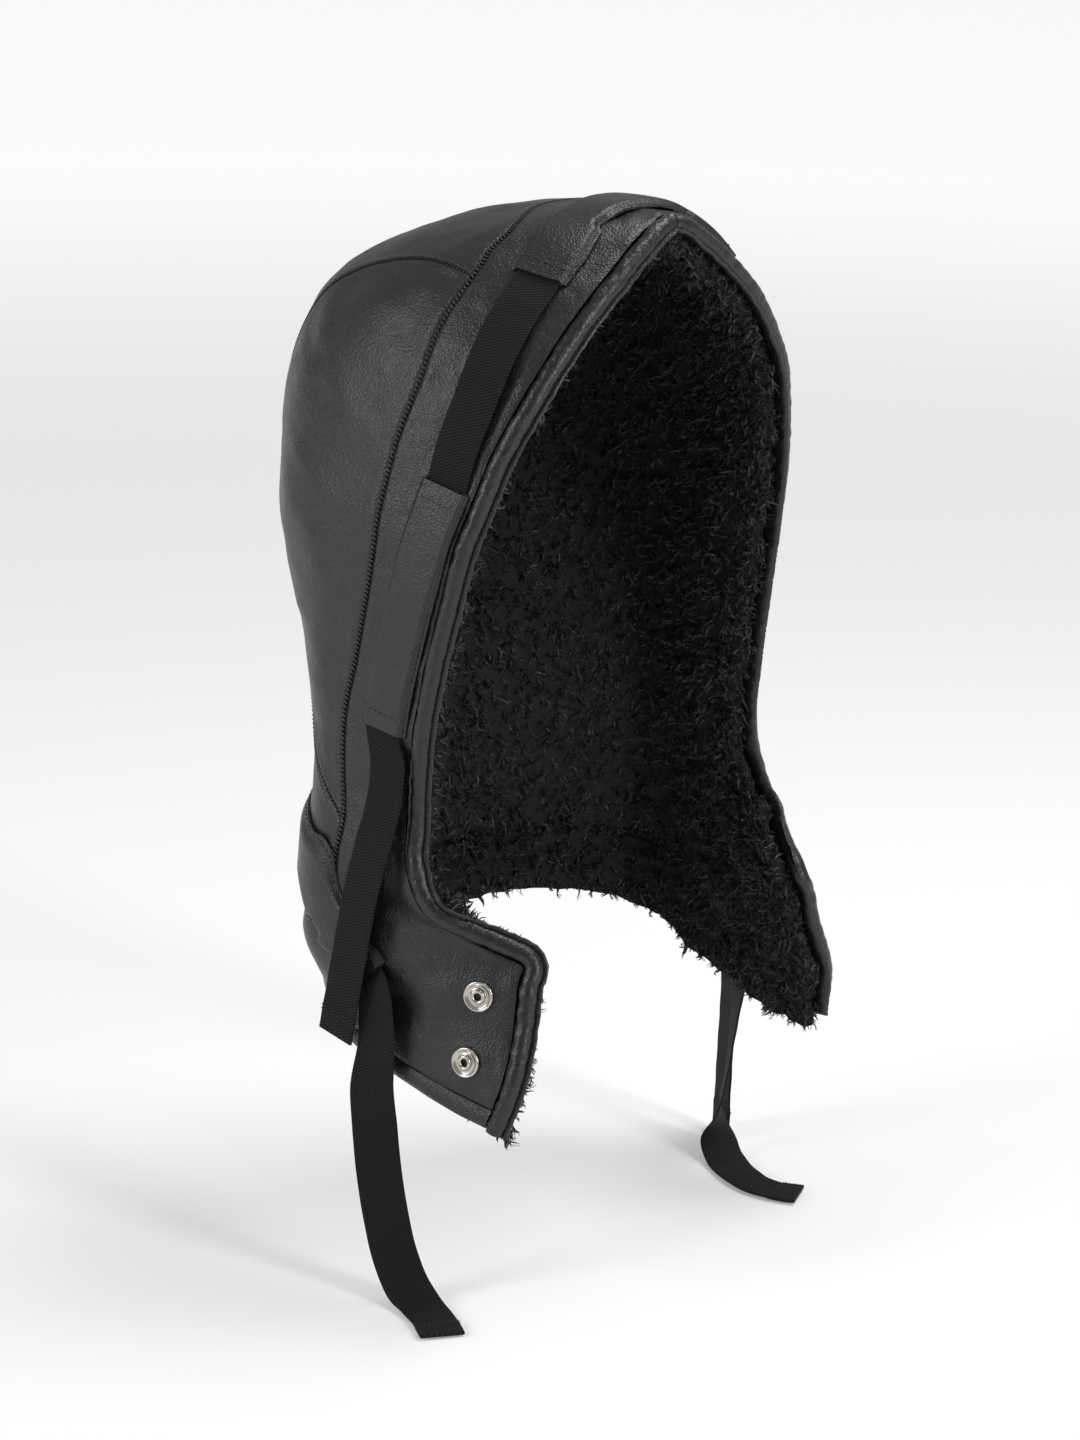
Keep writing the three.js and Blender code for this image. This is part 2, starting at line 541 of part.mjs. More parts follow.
// Side panels: leaves between the band seam and the seam behind them.
const sidePlaces = [];
for (let index = SIDE_PANEL_TOP; index <= SIDE_PANEL_TIP; index += 1) {
  const from = seamStop(index, 'band', SEAM_GAP / 2);
  const to = seamStop(index, 'side', -SEAM_GAP / 2);
  const row = between(from, to, SIDE_COLUMNS);
  const middle = { h: (from.h + to.h) / 2, q: (from.q + to.q) / 2 };
  const isTip = index === SIDE_PANEL_TOP || index === SIDE_PANEL_TIP;
  sidePlaces.push(isTip ? row.map(() => middle) : row);
}
addPair('side_panel', grids(sidePlaces, 0, LEATHER));

// Crown panel: one piece from the band over the crown and down the back.
const crownPlaces = panelLines.map((index) => {
  const start = seamStop(index, 'side', SEAM_GAP / 2);
  return between(start, index === 0 ? start : backStop(index), CROWN_COLUMNS);
});
const crown = grids(crownPlaces, 0, LEATHER);
addPiece('crown_panel', fullSlab(crown), LEATHER_BLACK);

// Hem band: the strip below the panels, from flap to flap.
function hemPlaces(index, dropGap) {
  const seam = seamStop(index, 'band', 0);
  const front = between(edgeStop(index), seam, BAND_COLUMNS);
  const places = front.concat(between(seam, backStop(index), CROWN_COLUMNS).slice(1));
  return places.map((place) => {
    const reach = shellPoint(place.h, place.q).distanceTo(shellPoint(place.h - 0.01, place.q)) / 0.01;
    return { h: place.h + dropGap / reach, q: place.q };
  });
}
const hem = grids([hemPlaces(HEM_LINE, HEM_SEAM), hemPlaces(HEM_LINE + 1, 0)], 0, LEATHER);
addPiece('hem_band', fullSlab(hem), LEATHER_BLACK);

// Frame on the face edge at a line: forward lies in the shell and points out of the edge.
function edgeFrame(index) {
  const line = LINES[index];
  const before = LINES[Math.max(index - 1, 0)];
  const after = LINES[Math.min(index + 1, LINES.length - 1)];
  const point = shellPoint(line.edge, 0);
  const normal = shellNormal(line.edge, 0);
  const run = shellPoint(after.edge, 0).sub(shellPoint(before.edge, 0)).normalize();
  const forward = normal.clone().cross(run).normalize();
  if (index === 0) {
    point.x = 0;
    normal.set(0, -0.25, 1).normalize();
    forward.set(0, -1, -0.25).normalize();
  }
  return { point, normal, forward };
}

function onEdge(frame, out, height) {
  return frame.point.clone().addScaledVector(frame.forward, out).addScaledVector(frame.normal, height);
}

// Rolled binding, one half on each side of the apex.
const ROLL = [
  { out: 0.00, up: 0.30 },
  { out: 0.16, up: 0.46 },
  { out: 0.60, up: 0.50 },
  { out: 0.94, up: 0.30 },
  { out: 1.00, up: -0.05 },
  { out: 0.84, up: -0.42 },
  { out: 0.40, up: -0.50 },
  { out: 0.00, up: -0.28 },
];
const rollLoops = LINES.map((line, index) => {
  const frame = edgeFrame(index);
  return ROLL.map((spot) => {
    const out = BINDING_SEAT + spot.out * BINDING_WIDTH;
    const point = onEdge(frame, out, spot.up * BINDING_THICKNESS - BINDING_SINK);
    if (index === 0) {
      point.x = -SEAM_GAP / 2;
    }
    return point;
  });
});
addPiece('edge_binding_right', loopGeometry(rollLoops), LEATHER_BLACK);
addPiece('edge_binding_left', loopGeometry(rollLoops.map((loop) => loop.map(mirrored))), LEATHER_BLACK);

// Wool lining: one backing under all the leather, with locks on its inner face and ragged tips
// past the face edge and the hem.
const WOOL_FACE = LEATHER + WOOL_SEAT;
const ROLL_FACE = BINDING_SINK + BINDING_THICKNESS / 2 + WOOL_SINK;

function lockHeight(h, q) {
  const coarse = Math.sin(h * 148 + q * 37) * Math.cos(q * 61 - h * 52);
  const fine = Math.sin(h * 263 - q * 149);
  return WOOL_LOCK_DEPTH * (0.5 + 0.3 * coarse + 0.2 * fine);
}

const woolOuter = [];
const woolInner = [];
LINES.forEach((line, index) => {
  const frame = edgeFrame(index);
  const ragged = WOOL_RIM_OVERHANG * (1 - 0.35 * (index % 2));
  const bandStop = seamStop(index, 'band', 0);
  const besideLeaf = index > SIDE_PANEL_TOP && index < SIDE_PANEL_TIP;
  const sideStop = seamStop(index, 'side', besideLeaf ? SEAM_GAP / 2 : 0);
  const places = between(edgeStop(index), bandStop, BAND_COLUMNS).slice(1)
    .concat(between(bandStop, sideStop, SIDE_COLUMNS).slice(1))
    .concat(between(sideStop, backStop(index), CROWN_COLUMNS).slice(1));
  const outerRow = [onEdge(frame, ragged, -ROLL_FACE), onEdge(frame, -2, -ROLL_FACE)];
  const innerRow = [
    onEdge(frame, ragged * 0.8, -WOOL_FACE - WOOL_THICKNESS * 0.9),
    onEdge(frame, -2, -WOOL_FACE - WOOL_THICKNESS - lockHeight(line.edge, 0)),
  ];
  for (const place of places) {
    outerRow.push(raised(place.h, place.q, -WOOL_FACE));
    innerRow.push(raised(place.h, place.q, -WOOL_FACE - WOOL_THICKNESS - lockHeight(place.h, place.q)));
  }
  if (index === 0) {
    for (const point of outerRow.concat(innerRow)) {
      point.x = 0;
    }
  }
  woolOuter.push(outerRow);
  woolInner.push(innerRow);
});
const hemOuter = woolOuter[woolOuter.length - 1];
const hemInner = woolInner[woolInner.length - 1];
const aboveHem = woolInner[woolInner.length - 2];
woolOuter.push(hemOuter.map((point, column) => {
  const drop = hemInner[column].clone().sub(aboveHem[column]).normalize();
  return point.clone().lerp(hemInner[column], 0.35).addScaledVector(drop, WOOL_HEM_OVERHANG * 0.6);
}));
woolInner.push(hemInner.map((point, column) => {
  const drop = point.clone().sub(aboveHem[column]).normalize();
  return point.clone().addScaledVector(drop, WOOL_HEM_OVERHANG * (column % 2 === 0 ? 1.6 : 1));
}));
addPiece('fur_lining', fullSlab({ outer: woolOuter, inner: woolInner }, true), WOOL_BLACK);

// Frame on the shell along a path of (h, q): run follows the path and side lies across it.
function pathFrames(path) {
  return path.map((stop, index) => {
    const before = path[Math.max(index - 1, 0)];
    const after = path[Math.min(index + 1, path.length - 1)];
    const normal = shellNormal(stop.h, stop.q);
    const run = shellPoint(after.h, after.q).sub(shellPoint(before.h, before.q)).normalize();
    if (stop.q > 0.9999) {
      run.set(-1, 0, 0);
    }
    return { stop, normal, run, side: run.clone().cross(normal).normalize() };
  });
}

function acrossPath(frame, dist, height) {
  const step = stepAlong(frame.stop.h, frame.stop.q, frame.side, dist);
  const point = raised(frame.stop.h + step.h, frame.stop.q + step.q, height);
  if (frame.stop.q > 0.9999) {
    point.x = 0;
  }
  return point;
}

// Leather channel: flat stitched margins and a raised middle over the webbing.
const CHANNEL_ROOM = 2 * WEBBING_CLEARANCE + WEBBING_THICKNESS;
const CHANNEL_INSIDE = WEBBING_WIDTH / 2 + WEBBING_CLEARANCE;

function channelGrids(path) {
  const outer = [];
  const inner = [];
  for (const frame of pathFrames(path)) {
    const rim = (frame.stop.wide * WEBBING_WIDTH) / 2;
    const shoulder = Math.min(CHANNEL_INSIDE + CHANNEL_STITCH, rim - 0.4);
    const spots = [
      { across: -rim, height: CHANNEL_SEAT },
      { across: -shoulder, height: CHANNEL_SEAT },
      { across: -CHANNEL_INSIDE, height: CHANNEL_ROOM },
      { across: 0, height: CHANNEL_ROOM },
      { across: CHANNEL_INSIDE, height: CHANNEL_ROOM },
      { across: shoulder, height: CHANNEL_SEAT },
      { across: rim, height: CHANNEL_SEAT },
    ];
    inner.push(spots.map((spot) => acrossPath(frame, spot.across, spot.height)));
    outer.push(spots.map((spot) => acrossPath(frame, spot.across, spot.height + CHANNEL_LEATHER)));
  }
  return { outer, inner };
}

function mirroredRows(rows) {
  return rows.map((row) => row.map(mirrored));
}

function joinedAtCentre(rows) {
  const left = mirroredRows(rows.slice(1)).reverse();
  return left.concat(rows);
}

const topChannel = channelGrids(TOP_CHANNEL);
const topGeometry = slabGeometry(joinedAtCentre(topChannel.outer), joinedAtCentre(topChannel.inner));
addPiece('top_tunnel', topGeometry, LEATHER_BLACK);
const sideChannel = channelGrids(SIDE_CHANNEL);
addPair('side_tunnel', sideChannel);
const napeChannel = channelGrids(NAPE_CHANNEL);
const napeGeometry = slabGeometry(joinedAtCentre(napeChannel.outer), joinedAtCentre(napeChannel.inner));
addPiece('nape_tunnel', napeGeometry, LEATHER_BLACK);

// Webbing on the shell: three spots across, lying at its clearance above the leather.
function webbingOnShell(path) {
  return pathFrames(path).map((frame) => {
    const lift = WEBBING_CLEARANCE + (frame.stop.lift ?? 0) * WEBBING_WIDTH;
    const spots = [-WEBBING_WIDTH / 2, 0, WEBBING_WIDTH / 2];
    const inner = spots.map((across) => acrossPath(frame, across, lift));
    const outer = spots.map((across) => acrossPath(frame, across, lift + WEBBING_THICKNESS));
    return outer.concat(inner.reverse());
  });
}

// Hanging webbing on the right side, through chosen points.
function hangingWebbing(points) {
  return points.map((spot, index) => {
    const before = points[Math.max(index - 1, 0)];
    const after = points[Math.min(index + 1, points.length - 1)];
    const run = new THREE.Vector3(after.x - before.x, after.y - before.y, after.z - before.z).normalize();
    const across = new THREE.Vector3(spot.wx, spot.wy, spot.wz);
    across.addScaledVector(run, -across.dot(run)).normalize();
    const normal = across.clone().cross(run);
    const centre = new THREE.Vector3(spot.x, spot.y, spot.z);
    const at = (side, height) => {
      return centre.clone().addScaledVector(across, side).addScaledVector(normal, height);
    };
    const half = WEBBING_WIDTH / 2;
    const thick = WEBBING_THICKNESS / 2;
    const outer = [at(-half, thick), at(0, thick), at(half, thick)];
    return outer.concat([at(half, -thick), at(0, -thick), at(-half, -thick)]);
  });
}

const headPath = TOP_CHANNEL.concat(HEAD_STRAP_BRIDGE, SIDE_CHANNEL);
const headLoops = webbingOnShell(headPath);
const headRight = headLoops.concat(hangingWebbing(HEAD_STRAP_RIGHT_END));
const headLeft = headLoops.slice(1).concat(hangingWebbing(HEAD_STRAP_LEFT_END));
const headStrap = mirroredRows(headLeft).reverse().concat(headRight);
addPiece('head_strap', loopGeometry(headStrap), WEBBING_BLACK);

const neckLoops = webbingOnShell(NAPE_CHANNEL);
const neckRight = neckLoops.concat(hangingWebbing(NECK_STRAP_RIGHT_END));
const neckLeft = neckLoops.slice(1).concat(hangingWebbing(NECK_STRAP_LEFT_END));
const neckStrap = mirroredRows(neckLeft).reverse().concat(neckRight);
addPiece('neck_strap', loopGeometry(neckStrap), WEBBING_BLACK);

// Press stud: a dished flange, a raised rim and a pierced post, turned about +Y.
function studGeometry() {
  const rim = STUD_DIAMETER / 2;
  const hole = STUD_HOLE / 2;
  const profile = [
    new THREE.Vector2(hole, 0),
    new THREE.Vector2(rim * 0.94, 0),
    new THREE.Vector2(rim, STUD_HEIGHT * 0.15),
    new THREE.Vector2(rim * 0.96, STUD_HEIGHT * 0.5),
    new THREE.Vector2(rim * 0.84, STUD_HEIGHT * 0.62),
    new THREE.Vector2(rim * 0.62, STUD_HEIGHT * 0.3),
    new THREE.Vector2(rim * 0.5, STUD_HEIGHT * 0.35),
    new THREE.Vector2(rim * 0.46, STUD_HEIGHT * 0.9),
    new THREE.Vector2(rim * 0.38, STUD_HEIGHT),
    new THREE.Vector2(rim * 0.28, STUD_HEIGHT),
    new THREE.Vector2(hole, STUD_HEIGHT * 0.7),
    new THREE.Vector2(hole, 0),
  ];
  return new THREE.LatheGeometry(profile, 16);
}

// Plain low cap of the hidden mate.
function capGeometry() {
  const rim = CAP_DIAMETER / 2;
  const profile = [
    new THREE.Vector2(0, 0),
    new THREE.Vector2(rim * 0.95, 0),
    new THREE.Vector2(rim, CAP_HEIGHT * 0.3),
    new THREE.Vector2(rim * 0.8, CAP_HEIGHT * 0.75),
    new THREE.Vector2(rim * 0.4, CAP_HEIGHT * 0.97),
    new THREE.Vector2(0, CAP_HEIGHT),
  ];
  return new THREE.LatheGeometry(profile, 16);
}

for (const place of STUD_PLACES) {
  const axis = new THREE.Vector3(0, 1, 0);
  const normal = shellNormal(place.h, place.q);
  const stud = addPiece(`stud_${place.name}`, studGeometry(), NICKEL);
  stud.position.copy(raised(place.h, place.q, STUD_SEAT));
  stud.quaternion.setFromUnitVectors(axis, normal);
  const cap = addPiece(`snap_cap_${place.name}`, capGeometry(), NICKEL);
  cap.position.copy(mirrored(raised(place.h, place.q, STUD_SEAT)));
  cap.quaternion.setFromUnitVectors(axis, mirrored(normal));
}

export default model;
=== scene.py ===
import bmesh
import bpy
import json
import numpy as np
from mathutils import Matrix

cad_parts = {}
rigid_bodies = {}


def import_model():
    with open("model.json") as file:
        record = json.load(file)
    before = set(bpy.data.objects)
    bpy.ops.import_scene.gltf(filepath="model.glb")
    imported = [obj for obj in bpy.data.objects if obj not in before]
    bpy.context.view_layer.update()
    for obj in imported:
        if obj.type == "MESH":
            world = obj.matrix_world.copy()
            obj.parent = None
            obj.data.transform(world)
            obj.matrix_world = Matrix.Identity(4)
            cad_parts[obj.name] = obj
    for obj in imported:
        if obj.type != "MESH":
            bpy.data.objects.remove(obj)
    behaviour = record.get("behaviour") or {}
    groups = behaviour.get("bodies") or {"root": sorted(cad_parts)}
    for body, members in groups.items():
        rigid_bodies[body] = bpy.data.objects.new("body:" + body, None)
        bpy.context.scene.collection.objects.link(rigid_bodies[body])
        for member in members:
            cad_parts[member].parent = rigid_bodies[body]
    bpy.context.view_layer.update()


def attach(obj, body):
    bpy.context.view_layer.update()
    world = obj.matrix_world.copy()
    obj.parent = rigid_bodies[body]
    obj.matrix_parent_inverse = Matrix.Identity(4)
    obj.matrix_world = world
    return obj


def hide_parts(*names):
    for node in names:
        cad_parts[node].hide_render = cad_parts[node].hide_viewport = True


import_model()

for starter in ("Cube", "Light", "Camera"):
    if starter in bpy.data.objects:
        bpy.data.objects.remove(bpy.data.objects[starter])


# Crown panel: one wide piece of black nappa sheepskin, from the seam behind the front bands over
# the crown and down the back of the neck. Its edges are turned down into the overcast seams.
MM = 0.001
HOOD_HALF_WIDTH = 153.0
HOOD_DEPTH = 241.0
HOOD_HEIGHT = 488.0
CROWN_RISE = 25.0
LEATHER_THICKNESS = 1.6
SEAM_GAP = 0.3
FRONT_RUN = 0.42
# q past this lies on the middle plane
MIDDLE_Q = 0.9999

# h, then ex, ey, ez, half, mid, sq, by, bz, dip as shares of the shell's half width, depth, height
SECTIONS = np.array([
    (0, 0, -0.423, 0.004, 0.02, 0.45, 2, -0.415, 0.002, 0),
    (0.04, 0.098, -0.436, 0.012, 0.144, 0.45, 2, -0.299, 0, 0),
    (0.08, 0.183, -0.44, 0.027, 0.263, 0.45, 2, -0.186, 0.002, 0),
    (0.14, 0.327, -0.444, 0.059, 0.448, 0.45, 2.01, -0.001, 0.012, 0),
    (0.2, 0.477, -0.44, 0.098, 0.626, 0.45, 2.12, 0.19, 0.041, 0),
    (0.26, 0.601, -0.427, 0.143, 0.745, 0.45, 2.24, 0.349, 0.08, 0),
    (0.32, 0.712, -0.407, 0.195, 0.823, 0.45, 2.29, 0.43, 0.141, 0),
    (0.37, 0.784, -0.378, 0.244, 0.868, 0.45, 2.29, 0.461, 0.203, 0),
    (0.42, 0.83, -0.357, 0.291, 0.9, 0.45, 2.29, 0.458, 0.269, 0),
    (0.46, 0.869, -0.332, 0.336, 0.923, 0.45, 2.32, 0.443, 0.328, 0),
    (0.52, 0.895, -0.303, 0.404, 0.927, 0.45, 2.25, 0.403, 0.404, 0),
    (0.58, 0.915, -0.27, 0.482, 0.924, 0.45, 2.07, 0.349, 0.482, 0),
    (0.64, 0.928, -0.245, 0.564, 0.936, 0.45, 2.07, 0.281, 0.564, 0),
    (0.7, 0.935, -0.237, 0.656, 0.961, 0.42, 2.1, 0.259, 0.65, 0),
    (0.74, 0.961, -0.253, 0.709, 0.988, 0.4, 2.11, 0.273, 0.699, 0),
    (0.77, 0.954, -0.299, 0.752, 0.99, 0.45, 2.08, 0.28, 0.732, 0),
    (0.8, 0.882, -0.382, 0.779, 0.997, 0.5, 2.08, 0.286, 0.758, 0),
    (0.822, 0.806, -0.472, 0.7965, 0.999, 0.52, 2.11, 0.293, 0.774, 0.012),
    (0.832, 0.778, -0.506, 0.804, 0.999, 0.52, 2.12, 0.295, 0.78, 0.018),
    (0.842, 0.797, -0.508, 0.8165, 0.999, 0.53, 2.13, 0.294, 0.787, 0.018),
    (0.88, 0.83, -0.515, 0.859, 0.998, 0.54, 2.14, 0.289, 0.809, 0.018),
    (0.94, 0.895, -0.523, 0.922, 0.98, 0.55, 2.1, 0.251, 0.84, 0.014),
    (1, 0.935, -0.494, 0.982, 0.961, 0.55, 2.06, 0.208, 0.871, 0.016),
])

# h, q, reach in h, reach in q, depth as a share of the half width
DENTS = np.array([
    (0.893, 0.262, 0.03, 0.05, 0.034),
    (0.262, 0.58, 0.022, 0.05, 0.018),
    (0.76, 0.14, 0.03, 0.07, 0.014),
    (0.85, 0.56, 0.04, 0.09, -0.018),
])


def numbered(rows):
    """Table with each row's number put before it, as the place that eased() reads."""
    rows = np.array(rows, float)
    return np.column_stack([np.arange(len(rows)), rows])


# edge h, band seam h and q, side seam h and q, back h
PANEL_LINES = numbered([
    (0, 0.097, 1, 0.097, 1, 0.097),
    (0.03, 0.101, 0.89, 0.101, 0.89, 0.11),
    (0.06, 0.109, 0.69, 0.109, 0.69, 0.123),
    (0.09, 0.127, 0.545, 0.127, 0.545, 0.138),
    (0.12, 0.155, 0.46, 0.155, 0.46, 0.155),
    (0.15, 0.187, 0.378, 0.187, 0.378, 0.172),
    (0.182, 0.214, 0.335, 0.185, 0.46, 0.195),
    (0.214, 0.245, 0.303, 0.19, 0.53, 0.22),
    (0.246, 0.275, 0.282, 0.202, 0.585, 0.247),
    (0.28, 0.306, 0.265, 0.224, 0.63, 0.278),
    (0.315, 0.34, 0.257, 0.256, 0.662, 0.31),
    (0.35, 0.374, 0.256, 0.294, 0.69, 0.343),
    (0.39, 0.41, 0.258, 0.338, 0.708, 0.38),
    (0.43, 0.446, 0.258, 0.386, 0.718, 0.42),
    (0.47, 0.48, 0.256, 0.434, 0.72, 0.46),
    (0.51, 0.516, 0.266, 0.484, 0.712, 0.502),
    (0.55, 0.554, 0.286, 0.534, 0.692, 0.545),
    (0.59, 0.592, 0.316, 0.582, 0.658, 0.588),
    (0.63, 0.632, 0.362, 0.626, 0.612, 0.63),
    (0.665, 0.666, 0.374, 0.663, 0.55, 0.665),
    (0.695, 0.695, 0.366, 0.694, 0.456, 0.694),
    (0.718, 0.715, 0.368, 0.715, 0.368, 0.718),
    (0.745, 0.745, 0.406, 0.745, 0.406, 0.744),
    (0.766, 0.768, 0.415, 0.768, 0.415, 0.768),
    (0.784, 0.79, 0.418, 0.79, 0.418, 0.792),
    (0.802, 0.812, 0.42, 0.812, 0.42, 0.815),
    (0.818, 0.834, 0.422, 0.834, 0.422, 0.838),
    (0.832, 0.856, 0.424, 0.856, 0.424, 0.86),
    (0.855, 0.878, 0.426, 0.878, 0.426, 0.882),
    (0.895, 0.908, 0.43, 0.908, 0.43, 0.907),
    (0.938, 0.94, 0.434, 0.94, 0.434, 0.932),
    (0.978, 0.97, 0.438, 0.97, 0.438, 0.955),
    (1, 1, 0.44, 1, 0.44, 1),
])
LEAF_TOP = 5
LEAF_TIP = 21
HEM_LINE = 31
LAST_LINE = 32


def eased(rows, at):
    """Values of a table, whose first column is the place, at the places asked for."""
    place = rows[:, 0]
    value = rows[:, 1:]
    reach = np.diff(place)
    climb = np.diff(value, axis=0) / reach[:, None]
    slope = np.empty_like(value)
    slope[0] = climb[0]
    slope[-1] = climb[-1]
    both = (reach[1:] + reach[:-1])[:, None]
    slope[1:-1] = (climb[:-1] * reach[1:, None] + climb[1:] * reach[:-1, None]) / both
    row = np.clip(np.searchsorted(place, at, side="left") - 1, 0, len(place) - 2)
    span = reach[row][..., None]
    share = np.clip((at - place[row])[..., None] / span, 0, 1)
    start = slope[row] * span
    end = slope[row + 1] * span
    rise = value[row + 1] - value[row]
    bend = start + end - 2 * rise
    return value[row] + share * (start + share * (rise - start - bend + share * bend))


def unit(vectors):
    return vectors / np.maximum(np.linalg.norm(vectors, axis=-1, keepdims=True), 1e-9)


def smooth_shell(h, q):
    ex, ey, ez, half, mid, square, by, bz, dip = np.moveaxis(eased(SECTIONS, h), -1, 0)
    run = np.minimum(q / FRONT_RUN, 1)
    turn = (np.pi / 2) * np.clip((q - FRONT_RUN) / (1 - FRONT_RUN), 0, 1)
    round_share = mid + (1 - mid) * np.sin(turn) ** (2 / square)
    round_half = half * np.maximum(np.cos(turn), 0) ** (2 / square)
    share = np.where(q < FRONT_RUN, mid * run, round_share)
    wide = np.where(q < FRONT_RUN, half - (half - ex) * (1 - run) ** 2, round_half)
    wide = np.where(q > MIDDLE_Q, 0, wide)
    y = (ey + (by - ey) * share) * HOOD_DEPTH
    down = ez + (bz - ez) * share + dip * 4 * share * (1 - share)
    return np.stack([-wide * HOOD_HALF_WIDTH, y, CROWN_RISE - down * HOOD_HEIGHT], axis=-1)


def facing(surface, h, q):
    middle = np.clip(h, 0.006, 0.998)
    down = surface(middle + 0.002, q) - surface(middle - 0.002, q)
    back = surface(middle, np.minimum(q + 0.01, 1)) - surface(middle, np.minimum(q, 0.99) - 0.01)
    out = np.cross(back, down)
    out[..., 0] = np.where(q > MIDDLE_Q, 0, out[..., 0])
    return unit(out)


def shell(h, q):
    """Outer face of the leather, in millimetres, on the wearer's right side."""
    h, q = np.broadcast_arrays(np.asarray(h, float), np.asarray(q, float))
    depth = np.zeros(h.shape)
    for dent_h, dent_q, reach_h, reach_q, deep in DENTS:
        fall = ((h - dent_h) / reach_h) ** 2
        depth += deep * HOOD_HALF_WIDTH * np.exp(-fall - ((q - dent_q) / reach_q) ** 2)
    return smooth_shell(h, q) - facing(smooth_shell, h, q) * depth[..., None]


def shell_normal(h, q):
    h, q = np.broadcast_arrays(np.asarray(h, float), np.asarray(q, float))
    return facing(shell, h, q)


def raised(h, q, height):
    h, q = np.broadcast_arrays(np.asarray(h, float), np.asarray(q, float))
    point = shell(h, q) + shell_normal(h, q) * np.asarray(height)[..., None]
    point[..., 0] = np.where(q > MIDDLE_Q, 0, point[..., 0])
    return point


def step_along(h, q, direction, dist):
    """Change of (h, q) that moves a point of the shell by dist along a direction in its face."""
    middle = np.maximum(h, 0.006)
    down = (shell(middle + 0.002, q) - shell(middle - 0.002, q)) / 0.004
    before = np.minimum(q, 0.99) - 0.01
    after = np.minimum(q + 0.01, 1)
    back = (shell(middle, after) - shell(middle, before)) / (after - before)[..., None]
    down_down = (down * down).sum(-1)
    down_back = (down * back).sum(-1)
    back_back = (back * back).sum(-1)
    along_down = (down * direction).sum(-1) * dist
    along_back = (back * direction).sum(-1) * dist
    scale = down_down * back_back - down_back ** 2
    dh = (along_down * back_back - along_back * down_back) / scale
    dq = (along_back * down_down - along_down * down_back) / scale
    return dh, dq


def edge_places(line):
    """Places on the face edge at fractional line numbers; the first line starts at the apex."""
    edge = eased(PANEL_LINES, line)[:, 0]
    return np.stack([edge, np.clip(1 - line / 0.12, 0, 1)], axis=-1)


def beside(h, q, side, dist, height):
    """Points over the shell at dist along side from the places (h, q), kept on the middle plane."""
    dh, dq = step_along(h, q, side, dist)
    point = raised(h + dh, np.where(q > MIDDLE_Q, q, q + dq), height)
    point[q > MIDDLE_Q, 0] = 0
    return point


def back_places(line):
    back = eased(PANEL_LINES, line)[:, 5]
    return np.stack([back, np.ones_like(back)], axis=-1)


def seam_places(line, seam, offset):
    """Places along a seam, moved off it by offset millimetres toward the back."""
    places = eased(PANEL_LINES, line)[:, 1:3]
    if seam == "side":
        leaf = eased(PANEL_LINES[LEAF_TOP:LEAF_TIP + 1][:, [0, 4, 5]], np.clip(line, LEAF_TOP, LEAF_TIP))
        beside = (line > LEAF_TOP) & (line < LEAF_TIP)
        places = np.where(beside[:, None], leaf, places)
    if offset == 0:
        return places
    h, q = places.T
    run = unit(np.gradient(shell(h, q), axis=0))
    run[line <= 0] = (-1, 0, 0)
    backward = unit(np.cross(run, shell_normal(h, q)))
    dh, dq = step_along(h, q, backward, offset)
    moved_q = np.where(line <= 0, 1, np.minimum(q + dq, 1))
    return np.stack([h + dh, moved_q], axis=-1)


def across(start, end, columns):
    """Places from start to end, closer together near both, where the seams are."""
    even = np.linspace(0, 1, columns + 1)
    share = 0.5 * even + 0.25 * (1 - np.cos(np.pi * even))
    return start[:, None, :] + (end - start)[:, None, :] * share[None, :, None]


def swell(points, size, seed):
    """Soft irregular swell between about -1 and 1, of a size in millimetres."""
    dice = np.random.default_rng(seed)
    height = np.zeros(points.shape[:-1])
    for wave in range(7):
        direction = unit(dice.normal(size=3)) * 2 * np.pi / (size * dice.uniform(0.7, 1.6))
        turn = dice.uniform(0, 2 * np.pi)
        bend = 0.8 * np.sin((points[..., [1, 2, 0]] @ direction) * 0.6 + turn * 3)
        height += np.sin(points @ direction + turn + bend) / 7 ** 0.6
    return height


def way(points, axis):
    """Distance in millimetres along an axis of a grid of points, from its first row or column."""
    step = np.linalg.norm(np.diff(points, axis=axis), axis=-1)
    first = np.zeros_like(np.take(step, [0], axis=axis))
    return np.concatenate([first, np.cumsum(step, axis=axis)], axis=axis)


def turned_edge(dist):
    """Height of leather that is turned down into a seam, at a distance from it."""
    return -0.9 * np.exp(-(dist / 1.3) ** 2) + 0.45 * np.exp(-((dist - 4.6) / 3.2) ** 2)


def mirror_x(points):
    return points * np.array([-1.0, 1.0, 1.0])


def both_sides(grid):
    return np.concatenate([grid, mirror_x(grid[:, -2::-1])], axis=1)


def mesh_object(name, points, faces, uv=None):
    mesh = bpy.data.meshes.new(name)
    mesh.from_pydata((points * MM).tolist(), [], faces)
    if uv is not None:
        layer = mesh.uv_layers.new(name="UVMap")
        corners = np.empty(len(mesh.loops), dtype=np.int32)
        mesh.loops.foreach_get("vertex_index", corners)
        layer.data.foreach_set("uv", uv[corners].astype(np.float32).ravel())
    body = bmesh.new()
    body.from_mesh(mesh)
    bmesh.ops.remove_doubles(body, verts=body.verts, dist=2e-6)
    bmesh.ops.dissolve_degenerate(body, edges=body.edges, dist=1e-7)
    if body.calc_volume(signed=True) < 0:
        bmesh.ops.reverse_faces(body, faces=body.faces)
    body.to_mesh(mesh)
    body.free()
    mesh.polygons.foreach_set("use_smooth", [True] * len(mesh.polygons))
    mesh.set_sharp_from_angle(angle=0.9)
    piece = bpy.data.objects.new(name, mesh)
    bpy.context.scene.collection.objects.link(piece)
    return piece


